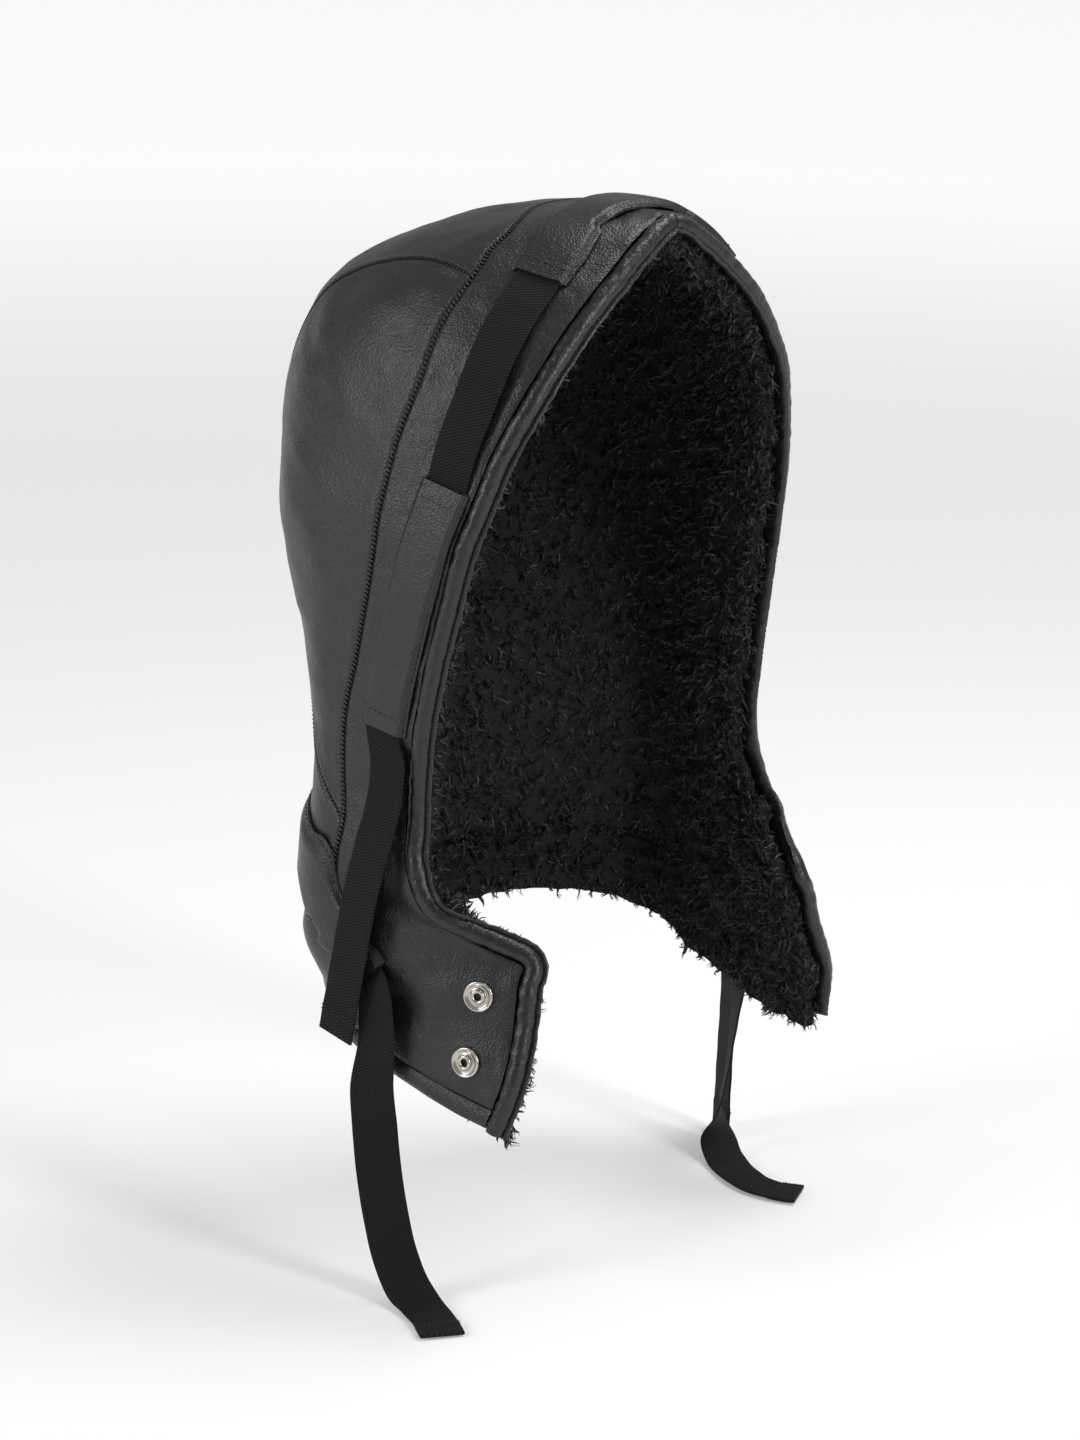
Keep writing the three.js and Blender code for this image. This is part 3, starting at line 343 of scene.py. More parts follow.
def slab(name, outer, inner, uv=None):
    """Closed sheet between two grids of points."""
    rows, columns = outer.shape[:2]
    number = np.arange(rows * columns).reshape(rows, columns)
    under = number + rows * columns
    a, b, c, d = number[:-1, :-1], number[:-1, 1:], number[1:, 1:], number[1:, :-1]
    faces = [np.stack([a, b, c, d], -1).reshape(-1, 4)]
    a, b, c, d = under[:-1, :-1], under[1:, :-1], under[1:, 1:], under[:-1, 1:]
    faces.append(np.stack([a, b, c, d], -1).reshape(-1, 4))
    for line, below in ((number[:, 0], under[:, 0]), (number[::-1, -1], under[::-1, -1]),
                        (number[0, ::-1], under[0, ::-1]), (number[-1], under[-1])):
        faces.append(np.stack([line[:-1], line[1:], below[1:], below[:-1]], -1))
    points = np.concatenate([outer.reshape(-1, 3), inner.reshape(-1, 3)])
    if uv is not None:
        uv = np.concatenate([uv.reshape(-1, 2), uv.reshape(-1, 2)])
    return mesh_object(name, points, np.concatenate(faces).tolist(), uv)


def feed(part, **settings):
    """Sets a node's inputs and properties by name, with _ for a space, or links a socket in."""
    for key, value in settings.items():
        label = key.replace("_", " ")
        if label not in part.inputs:
            setattr(part, key, value)
        elif isinstance(value, bpy.types.NodeSocket):
            part.id_data.links.new(value, part.inputs[label])
        else:
            part.inputs[label].default_value = value
    return part


def node(tree, kind, **settings):
    return feed(tree.nodes.new(kind), **settings)


def new_look(name):
    material = bpy.data.materials.new(name)
    material.use_nodes = True
    return material, material.node_tree, material.node_tree.nodes["Principled BSDF"]


def nappa(name, grain, crease, shade, dull):
    """Black nappa: a fine pebbled grain over small creases, a little glossier on the high spots."""
    material, tree, shader = new_look(name)
    place = node(tree, "ShaderNodeTexCoord").outputs["Object"]
    pebbles = node(tree, "ShaderNodeTexVoronoi", Scale=820.0, Vector=place)
    creases = node(tree, "ShaderNodeTexNoise", Scale=330.0, Detail=5.0, Roughness=0.62,
                   Distortion=1.2, Vector=place)
    waves = node(tree, "ShaderNodeTexNoise", Scale=48.0, Detail=3.0, Roughness=0.5,
                 Distortion=0.6, Vector=place)
    gloss = node(tree, "ShaderNodeMapRange", From_Min=0.3, From_Max=0.7, To_Min=dull,
                 To_Max=dull - 0.10, Value=creases.outputs["Fac"])
    soft = node(tree, "ShaderNodeBump", Strength=crease, Distance=0.003, Height=waves.outputs["Fac"])
    middle = node(tree, "ShaderNodeBump", Strength=crease, Distance=0.0012,
                  Height=creases.outputs["Fac"], Normal=soft.outputs["Normal"])
    fine = node(tree, "ShaderNodeBump", Strength=grain, Distance=0.0006,
                Height=pebbles.outputs["Distance"], Normal=middle.outputs["Normal"])
    feed(shader, Specular_IOR_Level=0.5, Base_Color=(shade, shade, shade * 1.03, 1),
         Roughness=gloss.outputs["Result"], Normal=fine.outputs["Normal"])
    return material


def dress(piece, material, slot, *nodes):
    piece.data.materials.clear()
    piece.data.materials.append(material)
    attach(piece, "root")
    if nodes:
        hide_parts(*nodes)


def sheet(h, q, height):
    """Outer and inner faces of leather whose outer face is raised by height."""
    return raised(h, q, height), raised(h, q, height - LEATHER_THICKNESS)


def leather_pair(name, faces, material, nodes):
    """The same leather sheet on the right side, and mirrored on the left."""
    for side, place, cad_node in (("_right", lambda points: points, nodes[0]), ("_left", mirror_x, nodes[1])):
        dress(slab(name + side, place(faces[0]), place(faces[1])), material, "leather_black", cad_node)


def leather_whole(name, faces, material, cad_node):
    """A leather sheet from the middle plane to the right edge, with its mirrored half."""
    dress(slab(name, both_sides(faces[0]), both_sides(faces[1])), material, "leather_black", cad_node)


panel_nappa = nappa("panel_nappa", 0.42, 0.24, 0.0080, 0.43)
panel_rows = np.linspace(0, HEM_LINE, HEM_LINE * 7 + 1)
crown_start = seam_places(panel_rows, "side", SEAM_GAP / 2)
crown_places = across(crown_start, back_places(panel_rows), 40)
crown_h, crown_q = np.moveaxis(crown_places, -1, 0)
crown_q[0] = 1
crown_skin = shell(crown_h, crown_q)
crown_run = way(crown_skin, 1)
crown_rise = way(crown_skin[::-1], 0)[::-1]
crown_folds = 0.6 * swell(crown_skin, 52, 4) + 0.2 * swell(crown_skin, 19, 5)
crown_folds *= 1 - np.exp(-(crown_run / 9) ** 2)
crown_height = crown_folds + turned_edge(crown_run) + turned_edge(crown_rise)
leather_whole("crown_leather", sheet(crown_h, crown_q, crown_height), panel_nappa, "crown_panel")


# Side panels: a long leaf of the same skin on each side, let in between the front band and the
# crown panel. Its edges are turned down and overcast to both.
leaf_rows = np.linspace(LEAF_TOP, LEAF_TIP, (LEAF_TIP - LEAF_TOP) * 7 + 1)
leaf_front = seam_places(leaf_rows, "band", SEAM_GAP / 2)
leaf_rear = seam_places(leaf_rows, "side", -SEAM_GAP / 2)
leaf_middle = (leaf_front + leaf_rear) / 2
for tip in (0, -1):
    leaf_front[tip] = leaf_middle[tip]
    leaf_rear[tip] = leaf_middle[tip]
leaf_h, leaf_q = np.moveaxis(across(leaf_front, leaf_rear, 26), -1, 0)
leaf_skin = shell(leaf_h, leaf_q)
leaf_run = way(leaf_skin, 1)
leaf_back_run = way(leaf_skin[:, ::-1], 1)[:, ::-1]
leaf_folds = 0.7 * swell(leaf_skin, 40, 8) + 0.3 * swell(leaf_skin, 15, 9)
leaf_folds *= (1 - np.exp(-(leaf_run / 9) ** 2)) * (1 - np.exp(-(leaf_back_run / 9) ** 2))
leaf_height = leaf_folds + turned_edge(leaf_run) + turned_edge(leaf_back_run)
leaf_nodes = ("side_panel_right", "side_panel_left")
leather_pair("side_leaf", sheet(leaf_h, leaf_q, leaf_height), panel_nappa, leaf_nodes)


# Front bands: the strips of skin round the face, one on each side, joined at the apex and widened
# at the throat into the flaps. The rolled binding holds their front edge.
band_nappa = nappa("band_nappa", 0.42, 0.30, 0.0072, 0.41)
band_start = edge_places(panel_rows)
band_end = seam_places(panel_rows, "band", -SEAM_GAP / 2)
band_h, band_q = np.moveaxis(across(band_start, band_end, 34), -1, 0)
band_q[0, 0] = 0
band_skin = shell(band_h, band_q)
band_run = way(band_skin, 1)
band_back_run = way(band_skin[:, ::-1], 1)[:, ::-1]
band_rise = way(band_skin[::-1], 0)[::-1]
band_folds = 0.5 * swell(band_skin, 34, 12) + 0.25 * swell(band_skin, 13, 13)
band_folds *= 1 - np.exp(-(band_back_run / 8) ** 2)
band_height = band_folds + turned_edge(band_back_run) + turned_edge(band_rise)
band_height += 0.35 * turned_edge(band_run)
band_faces = sheet(band_h, band_q, band_height)
for face in band_faces:
    face[0, :, 0] = -SEAM_GAP / 2
leather_pair("front_band_leather", band_faces, band_nappa, ("front_band_right", "front_band_left"))


# Hem band: a narrow strip of skin below all the panels, from flap to flap, turned under at its
# lower edge.
HEM_SEAM = 0.6
hem_rows = np.linspace(HEM_LINE, LAST_LINE, 9)
hem_seam = seam_places(hem_rows, "band", 0)
hem_places = np.concatenate([across(edge_places(hem_rows), hem_seam, 34),
                             across(hem_seam, back_places(hem_rows), 40)[:, 1:]], axis=1)
hem_h, hem_q = np.moveaxis(hem_places, -1, 0)
hem_reach = np.linalg.norm(shell(hem_h, hem_q) - shell(hem_h - 0.01, hem_q), axis=-1) / 0.01
hem_gap = HEM_SEAM / hem_reach * (LAST_LINE - hem_rows)[:, None]
hem_h = hem_h + hem_gap
hem_skin = shell(hem_h, hem_q)
hem_drop = way(hem_skin, 0)
hem_lift = way(hem_skin[::-1], 0)[::-1]
hem_height = 0.3 * swell(hem_skin, 16, 16) + turned_edge(hem_drop) + 1.1 * turned_edge(hem_lift)
leather_whole("hem_leather", sheet(hem_h, hem_q, hem_height), band_nappa, "hem_band")


# Rolled binding: a strip of thinner skin turned round the raw face edge and stuffed by the wool's
# own thickness, one half on each side of the apex. Its inner lip is stitched down beside the wool.
BINDING_WIDTH = 12.0
BINDING_THICKNESS = 8.0
BINDING_SINK = 2.6
BINDING_SEAT = 0.8
# number, out as a share of the width, up as a share of the thickness
ROLL = np.array([
    (0, 0.00, 0.10), (1, 0.05, 0.40), (2, 0.20, 0.64), (3, 0.44, 0.72), (4, 0.68, 0.58),
    (5, 0.83, 0.26), (6, 0.86, 0.02), (7, 0.92, 0.05), (8, 1.03, 0.00), (9, 1.05, -0.14),
    (10, 0.92, -0.34), (11, 0.60, -0.48), (12, 0.20, -0.46), (13, 0.00, -0.20),
])


def edge_frames(line):
    """Point, outward normal and forward direction on the face edge at fractional line numbers."""
    edge = eased(PANEL_LINES, line)[:, 0]
    flat = np.zeros_like(edge)
    point = shell(edge, flat)
    normal = shell_normal(edge, flat)
    run = unit(np.gradient(point, axis=0))
    forward = unit(np.cross(normal, run))
    apex = np.clip(1 - line, 0, 1)[:, None]
    normal = unit(normal * (1 - apex) + unit(np.array([0, -0.25, 1.0])) * apex)
    forward = unit(forward * (1 - apex) + unit(np.array([0, -1.0, -0.25])) * apex)
    point[line <= 0, 0] = 0
    return point, normal, forward


binding_rows = np.linspace(0, LAST_LINE, LAST_LINE * 12 + 1)
roll_point, roll_normal, roll_forward = edge_frames(binding_rows)
closed_roll = np.concatenate([ROLL, [(14, ROLL[0, 1], ROLL[0, 2])]])
roll_out, roll_up = eased(closed_roll, np.linspace(0, 14, 43)[:-1]).T
roll_loops = (roll_point[:, None] + roll_forward[:, None] * (BINDING_SEAT + roll_out * BINDING_WIDTH)[:, None]
              + roll_normal[:, None] * (roll_up * BINDING_THICKNESS - BINDING_SINK)[:, None])
roll_middle = roll_loops.mean(axis=1, keepdims=True)
roll_pucker = 0.045 * swell(roll_loops, 9, 21) + 0.03 * swell(roll_loops, 4, 22)
roll_loops = roll_middle + (roll_loops - roll_middle) * (1 + roll_pucker[..., None])
roll_loops[0, :, 0] = -SEAM_GAP / 2


def hose(name, loops):
    """Closed solid through a row of loops of points."""
    rows, count = loops.shape[:2]
    number = np.arange(rows * count).reshape(rows, count)
    following = np.roll(number, -1, axis=1)
    faces = np.stack([number[:-1], following[:-1], following[1:], number[1:]], -1)
    faces = faces.reshape(-1, 4).tolist()
    faces.append(number[0, ::-1].tolist())
    faces.append(number[-1].tolist())
    return mesh_object(name, loops.reshape(-1, 3), faces)


binding_nappa = nappa("binding_nappa", 0.22, 0.26, 0.0065, 0.36)
binding_right = hose("binding_roll_right", roll_loops)
dress(binding_right, binding_nappa, "leather_black", "edge_binding_right")
binding_left = hose("binding_roll_left", mirror_x(roll_loops))
dress(binding_left, binding_nappa, "leather_black", "edge_binding_left")


# Seam thread: waxed black thread, laid over the panel seams in slanted overcast stitches and run
# along the binding's lip and the hem in short running stitches.
def thread_look():
    material, tree, shader = new_look("waxed_thread")
    feed(shader, Base_Color=(0.010, 0.010, 0.011, 1), Roughness=0.45)
    return material


waxed_thread = thread_look()


def making_tree(name, inputs):
    """Empty node tree that makes geometry, with the sockets of its inputs (label, kind, default)."""
    tree = bpy.data.node_groups.new(name, "GeometryNodeTree")
    tree.interface.new_socket("Geometry", in_out="INPUT", socket_type="NodeSocketGeometry")
    for label, kind, value in inputs:
        socket = tree.interface.new_socket(label, in_out="INPUT", socket_type="NodeSocket" + kind)
        if value is not None:
            socket.default_value = value
    tree.interface.new_socket("Geometry", in_out="OUTPUT", socket_type="NodeSocketGeometry")
    return tree, node(tree, "NodeGroupInput").outputs


def finished_tree(tree, instances, material):
    """Ends a tree: the instances are made real and get their material."""
    real = node(tree, "GeometryNodeRealizeInstances", Geometry=instances)
    coloured = node(tree, "GeometryNodeSetMaterial", Geometry=real.outputs["Geometry"], Material=material)
    node(tree, "NodeGroupOutput", Geometry=coloured.outputs["Geometry"])
    return tree


def stitch_tree():
    """Stitches along the object's edges: each lies in the face, turned from the seam by Slant."""
    tree, given = making_tree("stitch_row", (
        ("Pitch", "Float", 0.0025), ("Stitch Length", "Float", 0.004), ("Thread Thickness", "Float", 0.0008),
        ("Slant", "Float", 0.0), ("Thread", "Material", None)))
    seam = node(tree, "GeometryNodeMeshToCurve", Mesh=given["Geometry"])
    spaced = node(tree, "GeometryNodeResampleCurve", mode="LENGTH", Curve=seam.outputs["Curve"],
                  Length=given["Pitch"])
    bead = node(tree, "GeometryNodeMeshUVSphere", Segments=6, Rings=4, Radius=0.5)
    size = node(tree, "ShaderNodeCombineXYZ", X=given["Stitch Length"], Y=given["Thread Thickness"],
                Z=given["Thread Thickness"])
    sized = node(tree, "GeometryNodeTransform", Geometry=bead.outputs["Mesh"], Scale=size.outputs["Vector"])
    outward = node(tree, "GeometryNodeInputNamedAttribute", data_type="FLOAT_VECTOR", Name="up")
    upright = node(tree, "FunctionNodeAlignRotationToVector", axis="Z", Vector=outward.outputs["Attribute"])
    heading = node(tree, "FunctionNodeAlignRotationToVector", axis="X", pivot_axis="Z",
                   Rotation=upright.outputs["Rotation"],
                   Vector=node(tree, "GeometryNodeInputTangent").outputs["Tangent"])
    slant = node(tree, "FunctionNodeAxisAngleToRotation", Axis=(0, 0, 1), Angle=given["Slant"])
    slanted = node(tree, "FunctionNodeRotateRotation", rotation_space="LOCAL",
                   Rotation=heading.outputs["Rotation"], Rotate_By=slant.outputs["Rotation"])
    laid = node(tree, "GeometryNodeInstanceOnPoints", Points=spaced.outputs["Curve"],
                Instance=sized.outputs["Geometry"], Rotation=slanted.outputs["Rotation"])
    return finished_tree(tree, laid.outputs["Instances"], given["Thread"])


stitch_rows = stitch_tree()


def bake_nodes(name, source, tree, settings):
    """Mesh that a node tree makes from the source mesh, as a plain object."""
    carrier = bpy.data.objects.new(name + "_lines", source)
    bpy.context.scene.collection.objects.link(carrier)
    modifier = carrier.modifiers.new("make", "NODES")
    modifier.node_group = tree
    items = tree.interface.items_tree
    sockets = {item.name: item.identifier for item in items if item.in_out == "INPUT"}
    for label, value in settings.items():
        modifier[sockets[label]] = value
    carrier.update_tag()
    ready = bpy.context.evaluated_depsgraph_get()
    mesh = bpy.data.meshes.new_from_object(carrier.evaluated_get(ready), depsgraph=ready)
    carrier.modifiers.clear()
    bpy.data.objects.remove(carrier)
    mesh.name = name
    made = bpy.data.objects.new(name, mesh)
    bpy.context.scene.collection.objects.link(made)
    return made


def sew(name, rows, pitch, length, thickness, slant):
    """One object with stitches along several rows, each given as (points, outward directions)."""
    points = np.concatenate([row[0] for row in rows])
    ups = np.concatenate([row[1] for row in rows])
    edges = []
    first = 0
    for row in rows:
        edges += [(first + k, first + k + 1) for k in range(len(row[0]) - 1)]
        first += len(row[0])
    mesh = bpy.data.meshes.new(name + "_path")
    mesh.from_pydata((points * MM).tolist(), edges, [])
    layer = mesh.attributes.new("up", "FLOAT_VECTOR", "POINT")
    layer.data.foreach_set("vector", ups.astype(np.float32).ravel())
    settings = {"Pitch": pitch * MM, "Stitch Length": length * MM, "Thread Thickness": thickness * MM,
                "Slant": slant, "Thread": waxed_thread}
    piece = bake_nodes(name, mesh, stitch_rows, settings)
    piece.data.polygons.foreach_set("use_smooth", [True] * len(piece.data.polygons))
    dress(piece, waxed_thread, "webbing_black")


def with_mirror(rows):
    return rows + [(mirror_x(points), mirror_x(ups)) for points, ups in rows]


def seam_row(lines, seam, offset, height):
    h, q = seam_places(lines, seam, offset).T
    return raised(h, q, height), shell_normal(h, q)


overcast_rows = [seam_row(np.linspace(0.05, HEM_LINE, 500), "band", 0, 0.15),
                 seam_row(np.linspace(LEAF_TOP + 0.1, LEAF_TIP - 0.1, 300), "side", 0, 0.15)]
sew("overcast_stitches", with_mirror(overcast_rows), 2.5, 4.6, 1.3, 1.15)
hem_path = hem_skin[5] + shell_normal(hem_h[5], hem_q[5]) * 0.3
sew("hem_stitches", with_mirror([(hem_path, shell_normal(hem_h[5], hem_q[5]))]), 3.6, 2.7, 0.6, 0)
lip_point, lip_normal, lip_forward = edge_frames(np.linspace(0.1, LAST_LINE, 600))
lip_path = lip_point + lip_forward * (BINDING_SEAT + 0.97 * BINDING_WIDTH)
lip_path = lip_path + lip_normal * (0.07 * BINDING_THICKNESS - BINDING_SINK)
sew("binding_stitches", with_mirror([(lip_path, unit(lip_normal + lip_forward * 0.4))]), 3.4, 2.5, 0.7, 0)


# Leather channels: strips of skin laid over the webbing at the top, at each cheek and round the
# nape. Their margins are stitched flat to the panels and their ends stay open.
WEBBING_WIDTH = 25.0
WEBBING_THICKNESS = 1.5
WEBBING_CLEARANCE = 1.0
CHANNEL_LEATHER = 1.2
CHANNEL_SEAT = 0.8
CHANNEL_ROOM = 2 * WEBBING_CLEARANCE + WEBBING_THICKNESS
STITCH_MARGIN = 1.9
STITCH_RISE = 0.12
# h, q, width as a share of the webbing's
TOP_CHANNEL = numbered([
    (0.042, 1, 1.36),
    (0.045, 0.812, 1.36),
    (0.057, 0.607, 1.36),
    (0.085, 0.423, 1.34),
    (0.112, 0.3, 1.3),
    (0.14, 0.234, 1.26),
    (0.167, 0.188, 1.22),
])
SIDE_CHANNEL = numbered([
    (0.412, 0.078, 1.2),
    (0.44, 0.08, 1.2),
    (0.47, 0.084, 1.2),
    (0.5, 0.09, 1.22),
    (0.53, 0.098, 1.24),
    (0.56, 0.108, 1.26),
    (0.59, 0.12, 1.28),
    (0.615, 0.131, 1.28),
    (0.636, 0.141, 1.28),
])
NAPE_CHANNEL = numbered([
    (0.742, 1, 1.9),
    (0.743, 0.93, 1.9),
    (0.745, 0.86, 1.9),
    (0.747, 0.785, 1.88),
    (0.75, 0.705, 1.84),
    (0.755, 0.635, 1.76),
    (0.762, 0.575, 1.68),
    (0.772, 0.524, 1.6),
    (0.785, 0.482, 1.5),
    (0.801, 0.448, 1.4),
    (0.818, 0.42, 1.32),
    (0.835, 0.393, 1.26),
    (0.851, 0.367, 1.22),
    (0.866, 0.343, 1.18),
])


def path_frames(h, q):
    """Outward normal, and the direction across a path, at places in a row."""
    normal = shell_normal(h, q)
    run = unit(np.gradient(shell(h, q), axis=0))
    run[q > MIDDLE_Q] = (-1, 0, 0)
    return normal, unit(np.cross(run, normal))


def channel(name, table, nodes, centred=False):
    """Channel over the webbing; a centred one starts on the middle plane and is mirrored on."""
    steps = (len(table) - 1) * 8 + 1
    h, q, wide = eased(table, np.linspace(0, len(table) - 1, steps)).T
    normal, side = path_frames(h, q)
    rim = wide * WEBBING_WIDTH / 2
    flat_half = WEBBING_WIDTH * 0.47
    length = way(shell(h, q)[None], 1)[0]
    outer = []
    for share in np.concatenate([[-1, -0.97, -0.9, -0.8], np.linspace(-0.7, 0.7, 15), [0.8, 0.9, 0.97, 1]]):
        shoulder = np.clip((rim * abs(share) - flat_half) / (rim - flat_half), 0, 1)
        arch = np.cos(np.pi / 2 * np.clip(shoulder * 1.7, 0, 1)) ** 0.8
        lift = CHANNEL_SEAT + (CHANNEL_ROOM - CHANNEL_SEAT) * arch + CHANNEL_LEATHER
        lift = lift + 0.14 * np.sin(length * 0.9 + 4 * share) * (1 - arch)
        lift = lift + 0.25 * np.sin(length * 0.13 + share) - 0.35 * (abs(share) > 0.99)
        lift = np.maximum(lift, CHANNEL_SEAT + CHANNEL_LEATHER * 0.6)
        outer.append(beside(h, q, side, rim * share, lift))
    outer = np.stack(outer, axis=1)
    inner = outer - normal[:, None] * CHANNEL_LEATHER
    margins = []
    for share in (-1, 1):
        line = beside(h, q, side, share * (rim - STITCH_MARGIN), CHANNEL_SEAT + CHANNEL_LEATHER + STITCH_RISE)
        margins.append((line, normal))
    ends = [np.searchsorted(length, length[-1] - 9)]
    if centred:
        outer = np.concatenate([mirror_x(outer[:0:-1]), outer])
        inner = np.concatenate([mirror_x(inner[:0:-1]), inner])
        dress(slab(name, outer, inner), channel_nappa, "leather_black", nodes)
    else:
        leather_pair(name, (outer, inner), channel_nappa, nodes)
        ends.append(np.searchsorted(length, 9))
    for row in ends:
        line = outer[row + (steps - 1 if centred else 0)]
        ups = np.repeat(normal[row][None], len(line), axis=0)
        margins.append((line + ups * STITCH_RISE, ups))
    return margins


channel_nappa = nappa("channel_nappa", 0.42, 0.26, 0.0068, 0.42)
channel_margins = channel("top_channel", TOP_CHANNEL, "top_tunnel", centred=True)
channel_margins += channel("cheek_channel", SIDE_CHANNEL, ("side_tunnel_right", "side_tunnel_left"))
channel_margins += channel("nape_channel", NAPE_CHANNEL, "nape_tunnel", centred=True)
sew("channel_stitches", with_mirror(channel_margins), 3.5, 2.6, 0.9, 0)


# Webbing straps: black cotton twill tape, 25 mm wide, with its ends folded back and sewn. The
# upper strap runs over the head through three channels, the lower one round the nape.
# h, q, lift as a share of the webbing's width
HEAD_STRAP_BRIDGE = numbered([
    (0.184, 0.165, 0.02),
    (0.22, 0.138, 0.07),
    (0.26, 0.116, 0.11),
    (0.3, 0.1, 0.11),
    (0.34, 0.088, 0.08),
    (0.38, 0.08, 0.03),
])
# x, y, z of the middle, then x, y, z of the width's direction, right side or mirrored
HEAD_STRAP_RIGHT_END = numbered([
    (-148.8, -48, -263, 0, 1, 0),
    (-153, -50, -283, 0, 1, 0),
    (-157.6, -46, -309, 0, 1, 0),
    (-160.2, -40, -337, 0, 1, 0),
    (-162, -35, -368, 0, 1, 0),
    (-163, -30, -396, 0, 1, 0),
    (-163, -25, -421, 0, 1, 0),
])
HEAD_STRAP_LEFT_END = numbered([
    (-148.8, -46, -263, 0, 1, 0),
    (-153.2, -45, -285, 0, 1, 0),
    (-158, -43, -315, 0, 1, 0),
    (-161.4, -41, -350, 0, 1, 0),
    (-163, -40, -390, -0.1, 1, 0),
    (-163, -39, -430, -0.3, 0.95, 0),
    (-162, -38, -475, -0.5, 0.87, 0),
    (-160.6, -38, -520, -0.5, 0.87, 0),
    (-159.6, -38, -561, -0.5, 0.87, 0),
])
NECK_STRAP_RIGHT_END = numbered([
    (-154.8, -44, -387, 0, 0.75, -0.66),
    (-156.2, -48, -396, -0.04, 0.92, -0.38),
    (-156.8, -50, -409, -0.06, 0.97, -0.12),
    (-157, -50, -426, -0.12, 0.97, 0),
    (-157.4, -48, -446, -0.42, 0.91, 0),
    (-157, -50, -468, -0.6, 0.8, 0),
    (-157, -54, -495, -0.67, 0.74, 0),
    (-157, -60, -520, -0.69, 0.72, 0),
    (-156.6, -67, -541, -0.71, 0.7, 0),
    (-156.8, -77, -556, -0.76, 0.65, 0),
    (-159.6, -91, -562, -0.83, 0.56, 0),
    (-166, -106, -563, -0.88, 0.47, 0),
    (-176, -122, -563, -0.89, 0.45, 0),
])
NECK_STRAP_LEFT_END = numbered([
    (-154.8, -44, -387, 0, 0.75, -0.66),
    (-156.4, -49, -397, -0.06, 0.92, -0.38),
    (-156.2, -52, -411, -0.1, 0.99, -0.1),
    (-154.8, -53, -430, -0.2, 0.98, 0),
    (-151, -54, -458, -0.5, 0.86, 0),
    (-146.6, -55, -488, -0.7, 0.71, 0),
    (-142.2, -55, -515, -0.76, 0.65, 0),
    (-137.8, -54, -541, -0.84, 0.52, 0),
    (-131.6, -60, -557.6, -0.9, -0.3, 0),
    (-122, -74, -562.6, -0.84, -0.54, 0),
    (-112, -93, -563, -0.92, -0.38, 0),
    (-107, -111, -563, -0.99, -0.05, 0),
    (-109, -125, -563, -0.98, 0.18, 0),
    (-114, -136, -563, -0.92, 0.38, 0),
])


def lying_tape(path):
    """Left edge, middle and right edge of tape that lies on the shell."""
    h, q, lift = path.T
    side = path_frames(h, q)[1]
    height = WEBBING_CLEARANCE + WEBBING_THICKNESS / 2 + lift * WEBBING_WIDTH
    return np.stack([beside(h, q, side, share * WEBBING_WIDTH, height) for share in (-0.5, 0, 0.5)], axis=1)


def hanging_tape(end):
    middle = end[:, 1:4]
    run = np.empty_like(middle)
    run[1:-1] = middle[2:] - middle[:-2]
    run[0] = middle[1] - middle[0]
    run[-1] = middle[-1] - middle[-2]
    run = unit(run)
    wide = end[:, 4:7]
    wide = unit(wide - run * (wide * run).sum(-1, keepdims=True))
    wide = wide * WEBBING_WIDTH / 2
    return np.stack([middle - wide, middle, middle + wide], axis=1)


def twill():
    """Black cotton twill: fine slanting ribs across the tape, a little dusty."""
    material, tree, shader = new_look("twill_tape")
    place = node(tree, "ShaderNodeUVMap", uv_map="UVMap").outputs["UV"]
    slope = node(tree, "ShaderNodeMapping", Rotation=(0, 0, 1.05), Vector=place)
    ribs = node(tree, "ShaderNodeTexWave", Scale=0.2, Distortion=0.5, Detail=1.0, Detail_Scale=2.0,
                Vector=slope.outputs["Vector"])
    lint = node(tree, "ShaderNodeTexNoise", Scale=2.6, Detail=4.0, Vector=place)
    blend = node(tree, "ShaderNodeMath", operation="MULTIPLY", Value=ribs.outputs["Fac"])
    tree.links.new(lint.outputs["Fac"], blend.inputs[1])
    tint = node(tree, "ShaderNodeValToRGB", Fac=blend.outputs["Value"])
    tint.color_ramp.elements[0].color = (0.0015, 0.0015, 0.0017, 1)
    tint.color_ramp.elements[1].position = 0.55
    tint.color_ramp.elements[1].color = (0.015, 0.015, 0.016, 1)
    bump = node(tree, "ShaderNodeBump", Strength=0.8, Distance=0.0004, Height=ribs.outputs["Fac"])
    feed(shader, Roughness=0.72, Sheen_Weight=0.03, Specular_IOR_Level=0.16,
         Base_Color=tint.outputs["Color"], Normal=bump.outputs["Normal"])
    return material


twill_tape = twill()


